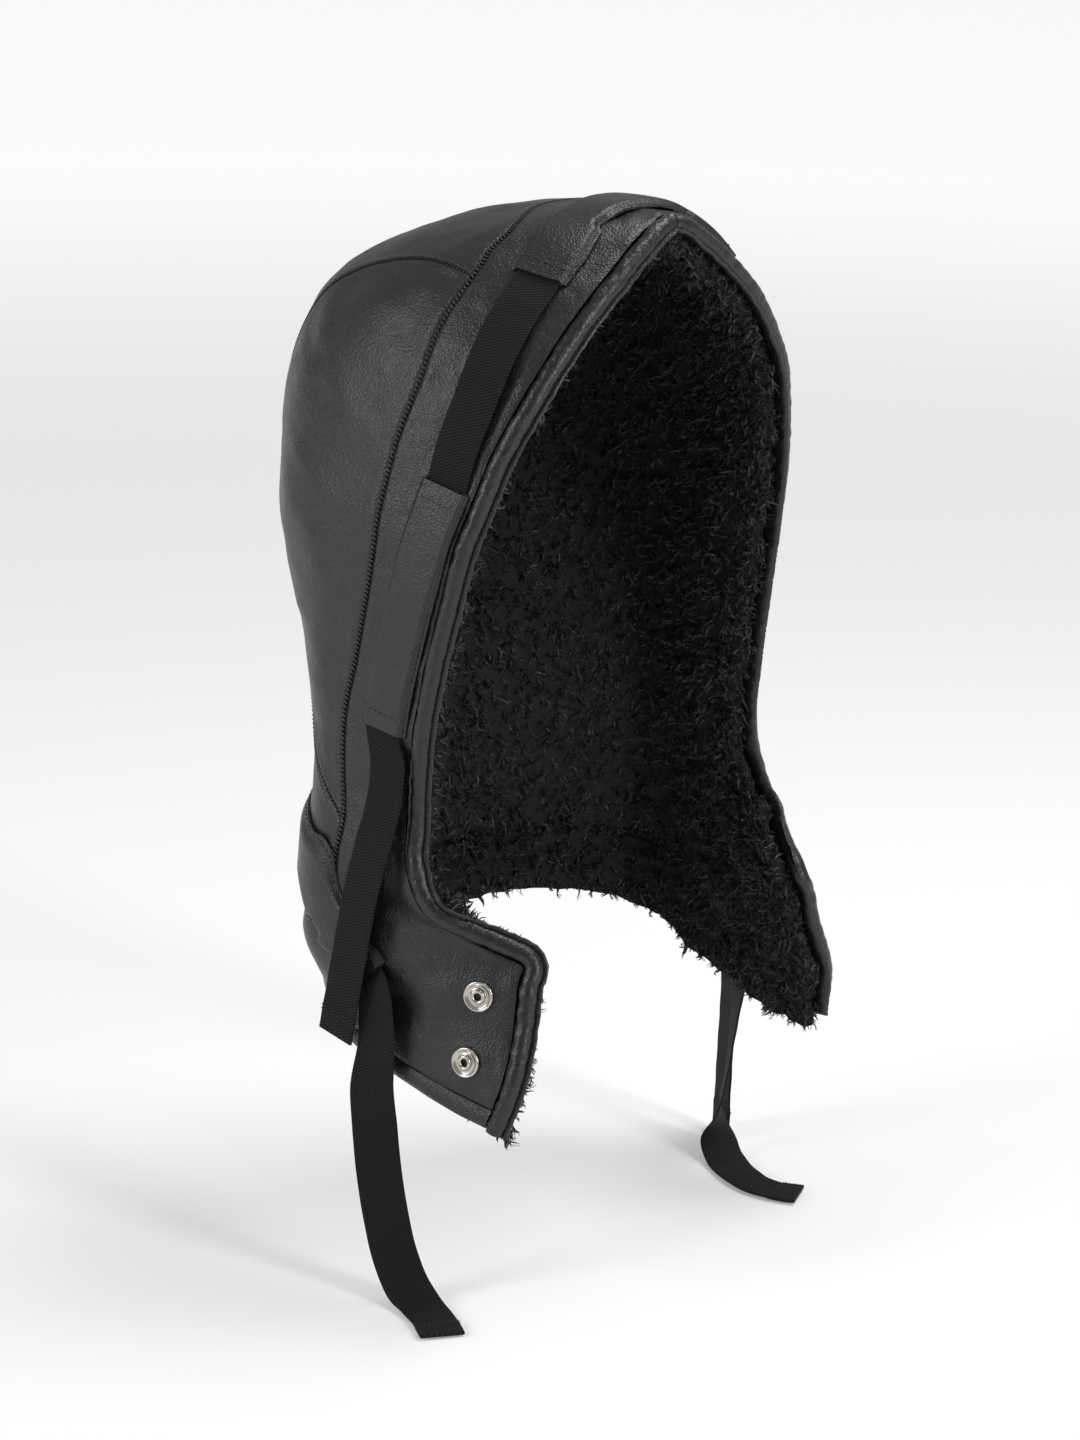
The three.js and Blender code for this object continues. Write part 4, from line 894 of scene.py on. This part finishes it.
def tape(name, lines, cad_node):
    """Tape through rows of left edge, middle and right edge, in short steps along its length."""
    length = way(lines[:, 1][None], 1)[0]
    rows = np.concatenate([length[:, None], lines.reshape(len(lines), 9)], axis=1)
    steps = np.arange(0, length[-1], 2.2)
    steps = np.append(steps, length[-1])
    fine = eased(rows, steps).reshape(-1, 3, 3)
    run = unit(np.gradient(fine[:, 1], axis=0))
    wide = unit(fine[:, 2] - fine[:, 0])
    normal = unit(np.cross(wide, run))
    shares = np.array([-1, -0.96, -0.85, -0.55, -0.2, 0.2, 0.55, 0.85, 0.96, 1])
    arch = 1 - shares ** 2
    middle = (fine[:, 0] + fine[:, 2]) / 2
    crown = ((fine[:, 1] - middle) * normal).sum(-1)
    points = (middle[:, None] + wide[:, None] * (shares * WEBBING_WIDTH / 2)[:, None]
              + normal[:, None] * (crown[:, None] * arch)[..., None])
    from_end = np.minimum(steps, steps[-1] - steps)
    thick = WEBBING_THICKNESS * (0.42 + 0.30 * (from_end < 15))[:, None]
    bead = thick * np.where(abs(shares) > 0.99, 0.45, 1.0)
    ripple = 0.12 * np.sin(steps * 0.31)[:, None] * shares
    outer = points + normal[:, None] * (bead + ripple)[..., None]
    inner = points - normal[:, None] * (bead - ripple)[..., None]
    uv = np.stack(np.broadcast_arrays(shares * WEBBING_WIDTH / 2, steps[:, None]), axis=-1)
    dress(slab(name, outer, inner, uv), twill_tape, "webbing_black", cad_node)
    hems = []
    for dist in (12.5, 14.5):
        for row in (np.searchsorted(steps, dist), np.searchsorted(steps, steps[-1] - dist)):
            ups = np.repeat(normal[row][None], len(shares) - 2, axis=0)
            hems.append((outer[row, 1:-1] + ups * 0.1, ups))
    return hems


def as_path(table, lifted=False):
    """Places along a table in finer steps, with the tape's lift where the third column is one."""
    values = eased(table, np.linspace(0, len(table) - 1, (len(table) - 1) * 3 + 1))
    return np.stack([values[:, 0], values[:, 1], values[:, 2] * lifted], axis=-1)


head_path = [as_path(TOP_CHANNEL), as_path(HEAD_STRAP_BRIDGE, lifted=True), as_path(SIDE_CHANNEL)]
head_lying = lying_tape(np.concatenate(head_path))
head_right = np.concatenate([head_lying, hanging_tape(HEAD_STRAP_RIGHT_END)])
head_left = np.concatenate([head_lying[1:], hanging_tape(HEAD_STRAP_LEFT_END)])
head_lines = np.concatenate([mirror_x(head_left)[::-1], head_right])
strap_hems = tape("head_strap_tape", head_lines, "head_strap")
neck_lying = lying_tape(as_path(NAPE_CHANNEL))
neck_right = np.concatenate([neck_lying, hanging_tape(NECK_STRAP_RIGHT_END)])
neck_left = np.concatenate([neck_lying[1:], hanging_tape(NECK_STRAP_LEFT_END)])
neck_lines = np.concatenate([mirror_x(neck_left)[::-1], neck_right])
strap_hems += tape("neck_strap_tape", neck_lines, "neck_strap")
sew("strap_hem_stitches", strap_hems, 2.4, 1.8, 0.6, 0)


# Press studs: turned nickel sockets with a raised rim, a dished ring and a hollow post, riveted
# through the right flap. Plain nickel caps of their mates sit on the left flap.
TURNED_SIDES = 64


def turned(name, profile, centre, axis, material, cad_node):
    """Solid turned from (radius, height) points about an axis through the centre."""
    profile = np.asarray(profile)
    aside = unit(np.cross(axis, np.array([0, 0, 1.0])))
    other = np.cross(axis, aside)
    angle = np.linspace(0, 2 * np.pi, TURNED_SIDES, endpoint=False)
    around = np.cos(angle)[:, None] * aside + np.sin(angle)[:, None] * other
    loops = centre + around[None] * profile[:, 0][:, None, None] + axis * profile[:, 1][:, None, None]
    if profile[0, 0] > 0:
        number = np.arange(len(profile) * TURNED_SIDES).reshape(len(profile), TURNED_SIDES)
        following = np.roll(number, -1, axis=1)
        below = np.roll(number, -1, axis=0)
        corner = np.roll(below, -1, axis=1)
        faces = np.stack([number, following, corner, below], -1).reshape(-1, 4).tolist()
        piece = mesh_object(name, loops.reshape(-1, 3), faces)
    else:
        piece = hose(name, loops[1:-1])
    dress(piece, material, "nickel", cad_node)


def nickel_look():
    material, tree, shader = new_look("polished_nickel")
    place = node(tree, "ShaderNodeTexCoord").outputs["Object"]
    haze = node(tree, "ShaderNodeTexNoise", Scale=260.0, Detail=3.0, Vector=place)
    gloss = node(tree, "ShaderNodeMapRange", To_Min=0.12, To_Max=0.32, Value=haze.outputs["Fac"])
    feed(shader, Base_Color=(0.50, 0.47, 0.43, 1), Metallic=1.0, Roughness=gloss.outputs["Result"])
    return material


nickel = nickel_look()
STUD_BORE = 1.8
STUD_SEAT = 0.4
STUD_PROFILE = [
    (STUD_BORE, 0.0), (8.0, 0.0), (8.4, 0.3), (8.5, 0.8), (8.35, 1.5), (7.9, 1.95), (7.3, 1.98),
    (6.8, 1.6), (6.2, 1.05), (5.4, 0.92), (4.7, 1.0), (4.35, 1.3), (4.2, 2.2), (3.95, 2.95),
    (3.4, 3.2), (2.7, 3.15), (2.25, 2.7), (STUD_BORE, 2.0),
]
CAP_PROFILE = [
    (0, 0.0), (7.4, 0.0), (7.9, 0.35), (8.0, 0.75), (7.6, 1.3), (6.4, 1.85), (4.4, 2.2),
    (2.2, 2.36), (0.4, 2.4), (0, 2.4),
]
for spot, stud_h, stud_q in (("upper", 0.860, 0.075), ("lower", 0.935, 0.092)):
    seat = raised(np.array([stud_h]), np.array([stud_q]), np.array([STUD_SEAT]))[0]
    stud_axis = shell_normal(np.array([stud_h]), np.array([stud_q]))[0]
    turned("stud_socket_" + spot, STUD_PROFILE, seat, stud_axis, nickel, "stud_" + spot)
    turned("stud_mate_" + spot, CAP_PROFILE, mirror_x(seat), mirror_x(stud_axis), nickel, "snap_cap_" + spot)


# Wool lining: the dense curly pile of the same skins, all over the inside, past the binding at the
# face and below the hem. It is a lumpy mass with small curled locks standing on it.
WOOL_THICKNESS = 15.0
WOOL_LOCK_DEPTH = 4.0
WOOL_RIM_OVERHANG = 9.0
WOOL_HEM_OVERHANG = 5.0
WOOL_FACE = LEATHER_THICKNESS + 1.1
ROLL_FACE = BINDING_SINK + BINDING_THICKNESS / 2 + 1.3
WOOL_BED = 1.6
RIM_TUCK = 2.0


def wool_look(name, low, high, roughness):
    material, tree, shader = new_look(name)
    place = node(tree, "ShaderNodeTexCoord").outputs["Object"]
    clump_tone_and_glints = node(tree, "ShaderNodeTexNoise", Scale=150.0, Detail=3.0, Vector=place)
    # Random clump tone between low and high; where high is far above black wool, as on the locks, the lighter
    # clumps are painted glints.
    tint = node(tree, "ShaderNodeValToRGB", Fac=clump_tone_and_glints.outputs["Fac"])
    tint.color_ramp.elements[0].position = 0.32
    tint.color_ramp.elements[0].color = (low, low, low * 1.05, 1)
    tint.color_ramp.elements[1].position = 0.7
    tint.color_ramp.elements[1].color = (high, high, high * 1.04, 1)
    fuzz = node(tree, "ShaderNodeTexNoise", Scale=420.0, Detail=4.0, Distortion=1.5, Vector=place)
    bump = node(tree, "ShaderNodeBump", Strength=0.8, Distance=0.002, Height=fuzz.outputs["Fac"])
    feed(shader, Roughness=roughness, Specular_IOR_Level=0.4, Base_Color=tint.outputs["Color"],
         Normal=bump.outputs["Normal"])
    return material


wool_bed_look = wool_look("wool_bed", 0.003, 0.009, 0.85)
# The locks' lighter tone, up to 0.062, is painted glint laid in random clumps over near-black wool; the bed's
# narrow range is only random tone.
wool_lock_look = wool_look("wool_locks", 0.011, 0.062, 0.32)


def pile_height(h, q, points):
    coarse = np.sin(h * 148 + q * 37) * np.cos(q * 61 - h * 52)
    fine = np.sin(h * 263 - q * 149)
    locks = WOOL_LOCK_DEPTH * (0.5 + 0.3 * coarse + 0.2 * fine)
    return WOOL_THICKNESS + locks - WOOL_BED + 1.1 * swell(points, 11, 31) + 0.6 * swell(points, 5, 32)


wool_rows = np.linspace(0, LAST_LINE, LAST_LINE * 6 + 1)
wool_band = seam_places(wool_rows, "band", 0)
wool_side = seam_places(wool_rows, "side", 0)
wool_places = np.concatenate([
    across(edge_places(wool_rows), wool_band, 18)[:, 1:],
    across(wool_band, wool_side, 14)[:, 1:],
    across(wool_side, back_places(wool_rows), 26)[:, 1:]], axis=1)
wool_h, wool_q = np.moveaxis(wool_places, -1, 0)
wool_skin = shell(wool_h, wool_q)
wool_in = -shell_normal(wool_h, wool_q)
rim_point, rim_normal, rim_forward = edge_frames(wool_rows)
rim_ragged = WOOL_RIM_OVERHANG * (0.82 + 0.18 * np.cos(np.pi * wool_rows))


def rim(out, height):
    return (rim_point + rim_forward * np.asarray(out)[..., None] + rim_normal * height)[:, None]


wool_outer = wool_skin + wool_in * WOOL_FACE
wool_collar = 3.0 * np.exp(-((way(wool_skin, 1) - 20) / 15) ** 2)
wool_depth = WOOL_FACE + pile_height(wool_h, wool_q, wool_skin) + wool_collar
wool_inner = wool_skin + wool_in * wool_depth[..., None]
rim_tip = rim(rim_ragged * 0.95, -WOOL_FACE - WOOL_THICKNESS * 0.5)
wool_outer = np.concatenate([rim_tip, rim(rim_ragged * 0.8, -ROLL_FACE - 0.4),
                             rim(-RIM_TUCK, -ROLL_FACE), wool_outer], axis=1)
wool_inner = np.concatenate([rim_tip, rim(rim_ragged * 0.7, -WOOL_FACE - WOOL_THICKNESS * 0.86),
                             rim(-RIM_TUCK, -WOOL_FACE - WOOL_THICKNESS), wool_inner], axis=1)
wool_outer[0, :, 0] = 0
wool_inner[0, :, 0] = 0
hem_fall = unit(wool_inner[-1] - wool_inner[-7])
hem_outer_row = wool_outer[-1] * 0.65 + wool_inner[-1] * 0.35 + hem_fall * WOOL_HEM_OVERHANG * 0.5
hem_fringe = 1.1 + 0.3 * swell(wool_inner[-1], 14, 33)
hem_inner_row = wool_inner[-1] + hem_fall * (WOOL_HEM_OVERHANG * hem_fringe)[:, None]
wool_outer = np.concatenate([wool_outer, hem_outer_row[None]])
wool_inner = np.concatenate([wool_inner, hem_inner_row[None]])
wool_bed = slab("wool_pile_bed", both_sides(wool_outer), both_sides(wool_inner))
dress(wool_bed, wool_bed_look, "wool_black", "fur_lining")


TUFT_KINDS = 10
TUFT_RIBBONS = 4
RIBBON_STEPS = 5


def curl_tufts():
    """Locks of wavy ribbons, standing on +Z and drawn together at their tips, to plant."""
    dice = np.random.default_rng(77)
    group = bpy.data.collections.new("wool_tufts")
    share = np.linspace(0, 1, RIBBON_STEPS + 1)
    for kind in range(TUFT_KINDS):
        points = []
        faces = []
        reach = dice.uniform(7.0, 11.5)
        radius = dice.uniform(0.7, 1.5)
        turn = dice.uniform(0, 2 * np.pi)
        twist = dice.uniform(4.0, 7.5) * dice.choice([-1, 1])
        lean = dice.normal(size=2) * 1.4
        for ribbon in range(TUFT_RIBBONS):
            apart = dice.normal(size=2) * 1.25
            long = reach * dice.uniform(0.75, 1.1)
            wave = radius * dice.uniform(0.8, 1.25) * share ** 0.6
            phase = turn + dice.normal() * 0.35 + twist * share
            x = apart[0] * (1 - 0.72 * share) + lean[0] * share ** 1.5 * 1.6 + wave * np.cos(phase)
            y = apart[1] * (1 - 0.72 * share) + lean[1] * share ** 1.5 * 1.6 + wave * np.sin(phase)
            z = -1.6 + long * (share - 0.3 * share ** 2.6)
            spine = np.stack([x, y, z], axis=-1)
            run = unit(np.gradient(spine, axis=0))
            wide = unit(np.cross(run, unit(dice.normal(size=3))))
            half = (0.46 * (1 - 0.8 * share ** 2.2))[:, None]
            first = len(points)
            edges = np.stack([spine - wide * half, spine + wide * half], axis=1)
            points += edges.reshape(-1, 3).tolist()
            starts = range(first, first + 2 * RIBBON_STEPS, 2)
            faces += [(k, k + 1, k + 3, k + 2) for k in starts]
        mesh = bpy.data.meshes.new("wool_tuft_%d" % kind)
        mesh.from_pydata((np.array(points) * MM).tolist(), [], faces)
        mesh.polygons.foreach_set("use_smooth", [True] * len(mesh.polygons))
        group.objects.link(bpy.data.objects.new("wool_tuft_%d" % kind, mesh))
    return group


wool_tufts = curl_tufts()


def value_socket(sockets, label, kind="VALUE"):
    return [socket for socket in sockets if socket.name == label and socket.type == kind][0]


def pile_tree():
    """Plants tufts on the faces: thicker where the bed says so, along its lay, with some ruffle."""
    tree, given = making_tree("planted_wool", (
        ("Tufts per Area", "Float", 120000.0), ("Ruffle", "Float", 0.5), ("Least Size", "Float", 0.7),
        ("Largest Size", "Float", 1.3), ("Seed", "Int", 5), ("Tufts", "Collection", None),
        ("Wool", "Material", None)))
    crowd = node(tree, "GeometryNodeInputNamedAttribute", data_type="FLOAT", Name="crowd")
    many = node(tree, "ShaderNodeMath", operation="MULTIPLY", Value=crowd.outputs["Attribute"])
    tree.links.new(given["Tufts per Area"], many.inputs[1])
    planted = node(tree, "GeometryNodeDistributePointsOnFaces", distribute_method="RANDOM",
                   Mesh=given["Geometry"], Density=many.outputs["Value"], Seed=given["Seed"])
    tufts = node(tree, "GeometryNodeCollectionInfo", Separate_Children=True, Reset_Children=True,
                 Collection=given["Tufts"])
    stray = node(tree, "FunctionNodeRandomValue", data_type="FLOAT_VECTOR", Min=(-1, -1, -1), Max=(1, 1, 1))
    strayed = node(tree, "ShaderNodeVectorMath", operation="SCALE",
                   Vector=value_socket(stray.outputs, "Value", "VECTOR"), Scale=given["Ruffle"])
    lay = node(tree, "GeometryNodeInputNamedAttribute", data_type="FLOAT_VECTOR", Name="lay")
    leaned = node(tree, "ShaderNodeVectorMath", operation="ADD", Vector=lay.outputs["Attribute"])
    tree.links.new(strayed.outputs["Vector"], leaned.inputs[1])
    upright = node(tree, "FunctionNodeAlignRotationToVector", axis="Z", Vector=leaned.outputs["Vector"])
    spin = node(tree, "FunctionNodeRandomValue", data_type="FLOAT")
    value_socket(spin.inputs, "Max").default_value = 6.2832
    spin_turn = node(tree, "FunctionNodeAxisAngleToRotation", Axis=(0, 0, 1),
                     Angle=value_socket(spin.outputs, "Value"))
    turned_tuft = node(tree, "FunctionNodeRotateRotation", rotation_space="LOCAL",
                       Rotation=upright.outputs["Rotation"], Rotate_By=spin_turn.outputs["Rotation"])
    size = node(tree, "FunctionNodeRandomValue", data_type="FLOAT")
    tree.links.new(given["Least Size"], value_socket(size.inputs, "Min"))
    tree.links.new(given["Largest Size"], value_socket(size.inputs, "Max"))
    laid = node(tree, "GeometryNodeInstanceOnPoints", Pick_Instance=True, Points=planted.outputs["Points"],
                Instance=tufts.outputs["Instances"], Rotation=turned_tuft.outputs["Rotation"],
                Scale=value_socket(size.outputs, "Value"))
    return finished_tree(tree, laid.outputs["Instances"], given["Wool"])


planted_wool = pile_tree()
bed_visible = np.concatenate([wool_outer[:, 2:0:-1], wool_inner], axis=1)
bed_in = np.concatenate([np.repeat(-rim_normal[:, None], 5, axis=1), wool_in], axis=1)
bed_in = np.concatenate([bed_in, bed_in[-1:]])
bed_reach = way(bed_visible, 1)
bed_reach = np.maximum(bed_reach - bed_reach[:, 4:5], 0)
bed_forward = np.concatenate([rim_forward, rim_forward[-1:]])[:, None]
bed_fall = way(bed_visible[::-1], 0)[::-1]
near_rim = np.exp(-(bed_reach / 9) ** 2)[..., None]
near_hem = np.exp(-(bed_fall / 9) ** 2)[..., None]
bed_lay = bed_in + np.array([0, 0, -0.45]) + bed_forward * near_rim * 1.3
bed_lay = unit(bed_lay + np.array([0, 0, -1.2]) * near_hem)
bed_crowd = 1 + 0.5 * near_rim[..., 0] + 0.4 * near_hem[..., 0]


def plant(name, columns, mirror, tufts_per_area, seed):
    """Locks of wool on some columns of the bed, on the right side or mirrored."""
    points = bed_visible[:, columns]
    lay = bed_lay[:, columns]
    if mirror:
        points = mirror_x(points)
        lay = mirror_x(lay)
    count, wide = points.shape[:2]
    number = np.arange(count * wide).reshape(count, wide)
    faces = np.stack([number[:-1, :-1], number[:-1, 1:], number[1:, 1:], number[1:, :-1]], -1)
    mesh = bpy.data.meshes.new(name + "_bed")
    mesh.from_pydata((points.reshape(-1, 3) * MM).tolist(), [], faces.reshape(-1, 4).tolist())
    for label, kind, key, values in (("lay", "FLOAT_VECTOR", "vector", lay),
                                     ("crowd", "FLOAT", "value", bed_crowd[:, columns])):
        layer = mesh.attributes.new(label, kind, "POINT")
        layer.data.foreach_set(key, values.astype(np.float32).ravel())
    settings = {"Tufts per Area": tufts_per_area, "Ruffle": 0.55, "Least Size": 0.7, "Largest Size": 1.25,
                "Seed": seed, "Tufts": wool_tufts, "Wool": wool_lock_look}
    dress(bake_nodes(name, mesh, planted_wool, settings), wool_lock_look, "wool_black")


FRONT_COLUMNS = slice(0, 24)
BACK_COLUMNS = slice(23, None)
plant("wool_locks_right_front", FRONT_COLUMNS, False, 46000.0, 3)
plant("wool_locks_right_back", BACK_COLUMNS, False, 26000.0, 4)
plant("wool_locks_left_front", FRONT_COLUMNS, True, 64000.0, 5)
plant("wool_locks_left_back", BACK_COLUMNS, True, 44000.0, 6)
for tuft in list(wool_tufts.objects):
    bpy.data.objects.remove(tuft)
bpy.data.collections.remove(wool_tufts)


# Studio: a wide pale floor under the strap that touches it, large soft lights overhead and at both
# sides, and the camera at the view of the photograph.
def floor_look():
    material, tree, shader = new_look("pale_floor")
    place = node(tree, "ShaderNodeTexCoord").outputs["Object"]
    far = node(tree, "ShaderNodeVectorMath", operation="LENGTH", Vector=place)
    glow = node(tree, "ShaderNodeMapRange", interpolation_type="SMOOTHSTEP", From_Min=0.9, From_Max=5.0,
                To_Min=0.22, To_Max=0.62, Value=far.outputs["Value"])
    feed(shader, Base_Color=(0.8, 0.8, 0.805, 1), Roughness=0.8, Specular_IOR_Level=0.1,
         Emission_Color=(1, 1, 1, 1), Emission_Strength=glow.outputs["Result"])
    return material


FLOOR_Z = -0.5655
FLOOR_HALF = 40
floor_mesh = bpy.data.meshes.new("studio_floor")
floor_corners = [(x * FLOOR_HALF, y * FLOOR_HALF, FLOOR_Z) for x, y in ((-1, -1), (1, -1), (1, 1), (-1, 1))]
floor_mesh.from_pydata(floor_corners, [], [(0, 1, 2, 3)])
floor_mesh.materials.append(floor_look())
studio_floor = bpy.data.objects.new("studio_floor", floor_mesh)
bpy.context.scene.collection.objects.link(studio_floor)

world = bpy.data.worlds.new("studio_air")
world.use_nodes = True
world.node_tree.nodes["Background"].inputs["Color"].default_value = (1.0, 1.0, 1.0, 1)
world.node_tree.nodes["Background"].inputs["Strength"].default_value = 0.4
bpy.context.scene.world = world


def soft_light(name, place, target, width, height, power):
    light = bpy.data.lights.new(name, "AREA")
    light.shape = "RECTANGLE"
    light.size = width
    light.size_y = height
    light.energy = power
    lamp = bpy.data.objects.new(name, light)
    place = np.array(place, float)
    back = unit(place - np.array(target, float))
    right = unit(np.cross(np.array([0, 0, 1.0]), back))
    up = np.cross(back, right)
    matrix = np.eye(4)
    matrix[:3, 0] = right
    matrix[:3, 1] = up
    matrix[:3, 2] = back
    matrix[:3, 3] = place
    lamp.matrix_world = matrix.T.tolist()
    bpy.context.scene.collection.objects.link(lamp)


soft_light("light_overhead", (0.7, -0.3, 1.6), (0, 0, -0.3), 0.9, 0.9, 20)
soft_light("light_left", (-2.3, 0.9, 0.9), (0, 0, -0.2), 0.7, 1.6, 28)
soft_light("light_front", (0.1, -2.4, 0.7), (0, 0, -0.2), 0.5, 1.4, 26)

heading = np.radians(48)
pitch = np.radians(15.606)
roll = np.radians(-1.435)
flat_right = np.array([np.cos(heading), -np.sin(heading), 0])
ahead = np.array([np.sin(heading) * np.cos(pitch), np.cos(heading) * np.cos(pitch), -np.sin(pitch)])
downward = np.array([-np.sin(heading) * np.sin(pitch), -np.cos(heading) * np.sin(pitch), -np.cos(pitch)])
image_right = np.cos(roll) * flat_right + np.sin(roll) * downward
image_down = -np.sin(roll) * flat_right + np.cos(roll) * downward
view = np.eye(4)
view[:3, 0] = image_right
view[:3, 1] = -image_down
view[:3, 2] = -ahead
view[:3, 3] = np.array([-1.5053, -1.3784, 0.2926])
camera_data = bpy.data.cameras.new("photo_camera")
camera_data.sensor_fit = "VERTICAL"
camera_data.sensor_height = 36.0
camera_data.lens = 92.5
camera_data.clip_end = 200
camera = bpy.data.objects.new("photo_camera", camera_data)
camera.matrix_world = view.T.tolist()
bpy.context.scene.collection.objects.link(camera)
bpy.context.scene.camera = camera
bpy.context.scene.view_settings.view_transform = "Standard"
